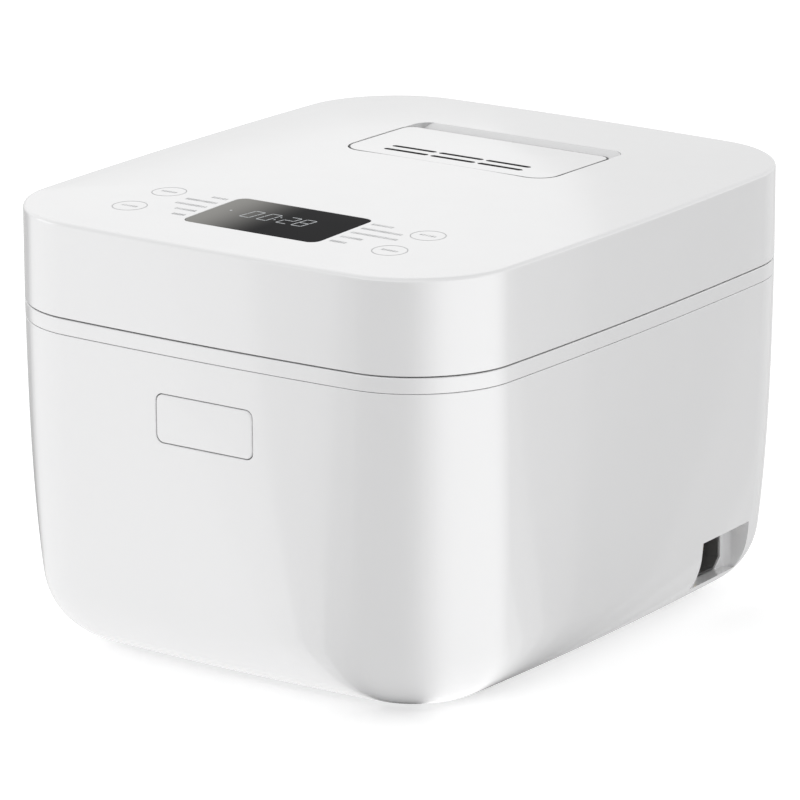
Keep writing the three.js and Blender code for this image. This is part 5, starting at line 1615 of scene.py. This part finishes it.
def soft_light(name, place, size, watts, aim):
    data = bpy.data.lights.new(name, "AREA")
    data.shape = "RECTANGLE"
    data.size, data.size_y = size
    data.energy = watts
    lamp = bpy.data.objects.new(name, data)
    bpy.context.scene.collection.objects.link(lamp)
    lamp.location = place
    lamp.rotation_euler = (Vector(aim) - Vector(place)).to_track_quat("-Z", "Y").to_euler()


# Soft light cards laid round the near corner, seen only in reflections: where each starts and ends as a
# bearing from the front towards the right, how far its edges fade (all in degrees), and its brightness
CARDS = {
    "left": (-105, -27, 12, 0.95),
    "right": (25, 155, 45, 1.3),
    "rear": (140, 270, 40, 0.7),
}
CARDS_CENTRE = (0.088, -0.113)
CARDS_REACH = 5.0
CARD_STEP = 6


def card_glow(bearing):
    """Brightness of the cards at a bearing."""
    total = 0.0
    for start, end, fade, brightness in CARDS.values():
        from_edge = min((bearing - start) % 360, (end - bearing) % 360)
        if (bearing - start) % 360 < end - start:
            share = min(1.0, from_edge / fade)
            total += brightness * share * share * (3 - 2 * share)
    return total


def light_cards():
    """One flat fan of light cards: its bright and dark zones shape the gloss on the corners."""
    points, faces, glow = [(*CARDS_CENTRE, 0.0005)], [], [0.0]
    bearings = range(-180, 180, CARD_STEP)
    for bearing in bearings:
        turn = math.radians(bearing)
        points.append((CARDS_CENTRE[0] + CARDS_REACH * math.sin(turn),
                       CARDS_CENTRE[1] - CARDS_REACH * math.cos(turn), 0.0005))
        glow.append(card_glow(bearing))
    count = len(bearings)
    for i in range(count):
        faces.append((0, 1 + i, 1 + (i + 1) % count))
    mesh = bpy.data.meshes.new("light_cards")
    mesh.from_pydata(points, [], faces)
    shades = mesh.attributes.new("glow", "FLOAT", "CORNER")
    for face in mesh.polygons:
        for corner, vertex in zip(face.loop_indices, face.vertices):
            own = [glow[v] for v in face.vertices if v]
            shades.data[corner].value = glow[vertex] if vertex else sum(own) / len(own)
    cards = as_piece("light_cards", mesh)
    for kind in ("camera", "diffuse", "transmission", "shadow", "volume_scatter"):
        setattr(cards, f"visible_{kind}", False)
    light = bpy.data.materials.new("card glow")
    light.use_nodes = True
    tree = light.node_tree
    tree.nodes.clear()
    shade = tree.nodes.new("ShaderNodeAttribute")
    shade.attribute_name = "glow"
    lit = tree.nodes.new("ShaderNodeEmission")
    out = tree.nodes.new("ShaderNodeOutputMaterial")
    tree.links.new(shade.outputs["Fac"], lit.inputs["Strength"])
    tree.links.new(lit.outputs[0], out.inputs[0])
    mesh.materials.append(light)


# Even light of the room, the paper floor's own glow and half its side, and the lamps: name, place, size,
# watts and the point each faces
ROOM_LIGHT = 0.84
FLOOR_GLOW = 0.33
FLOOR_REACH = 9
LAMPS = (
    ("rear left", (-1.75, 1.0, 2.0), (3.2, 3.2), 8, (0, 0, 0)),
    ("left", (-1.98, -0.92, 0.71), (1.2, 1.2), 3.5, (0, 0, 0.1)),
    ("right", (2.05, 0.75, 0.71), (1.2, 1.2), 1.5, (0, 0, 0.1)),
)


def studio():
    world = bpy.data.worlds.new("studio")
    bpy.context.scene.world = world
    world.use_nodes = True
    world.node_tree.nodes["Background"].inputs["Color"].default_value = (1, 1, 1, 1)
    world.node_tree.nodes["Background"].inputs["Strength"].default_value = ROOM_LIGHT
    for lamp in LAMPS:
        soft_light(*lamp)
    r = FLOOR_REACH
    floor = as_piece("floor", mesh_of("floor", [(-r, -r, 0), (r, -r, 0), (r, r, 0), (-r, r, 0)],
                                      [(0, 1, 2, 3)]))
    floor.visible_glossy = False
    paper = finish("white paper sweep", (0.9, 0.9, 0.9), 0.9)
    tinted(paper, noise(paper, 6, 2), (0.9, 0.9, 0.9), (0.92, 0.92, 0.92))
    shader_of(paper).inputs["Specular IOR Level"].default_value = 0.1
    shader_of(paper).inputs["Emission Color"].default_value = (1, 1, 1, 1)
    shader_of(paper).inputs["Emission Strength"].default_value = FLOOR_GLOW
    floor.data.materials.append(paper)
    light_cards()
    bpy.context.scene.view_settings.view_transform = "Standard"


camera()
studio()
shell_moulding()
deck_moulding()
push_plate_moulding()
base_moulding()
feet()
screw_sets()
pot()
level_marks()
heater()
springs()
lead()
inlet()
hinge_moulding()
hinge_hardware()
lid_moulding()
liner_moulding()
inner_lid_pressing()
display()
panel_print()
vent_moulding()
vent_gap_shade()
slot_shade_sleeves()
turned_parts()
cut_parts()
dress_remaining_nodes()
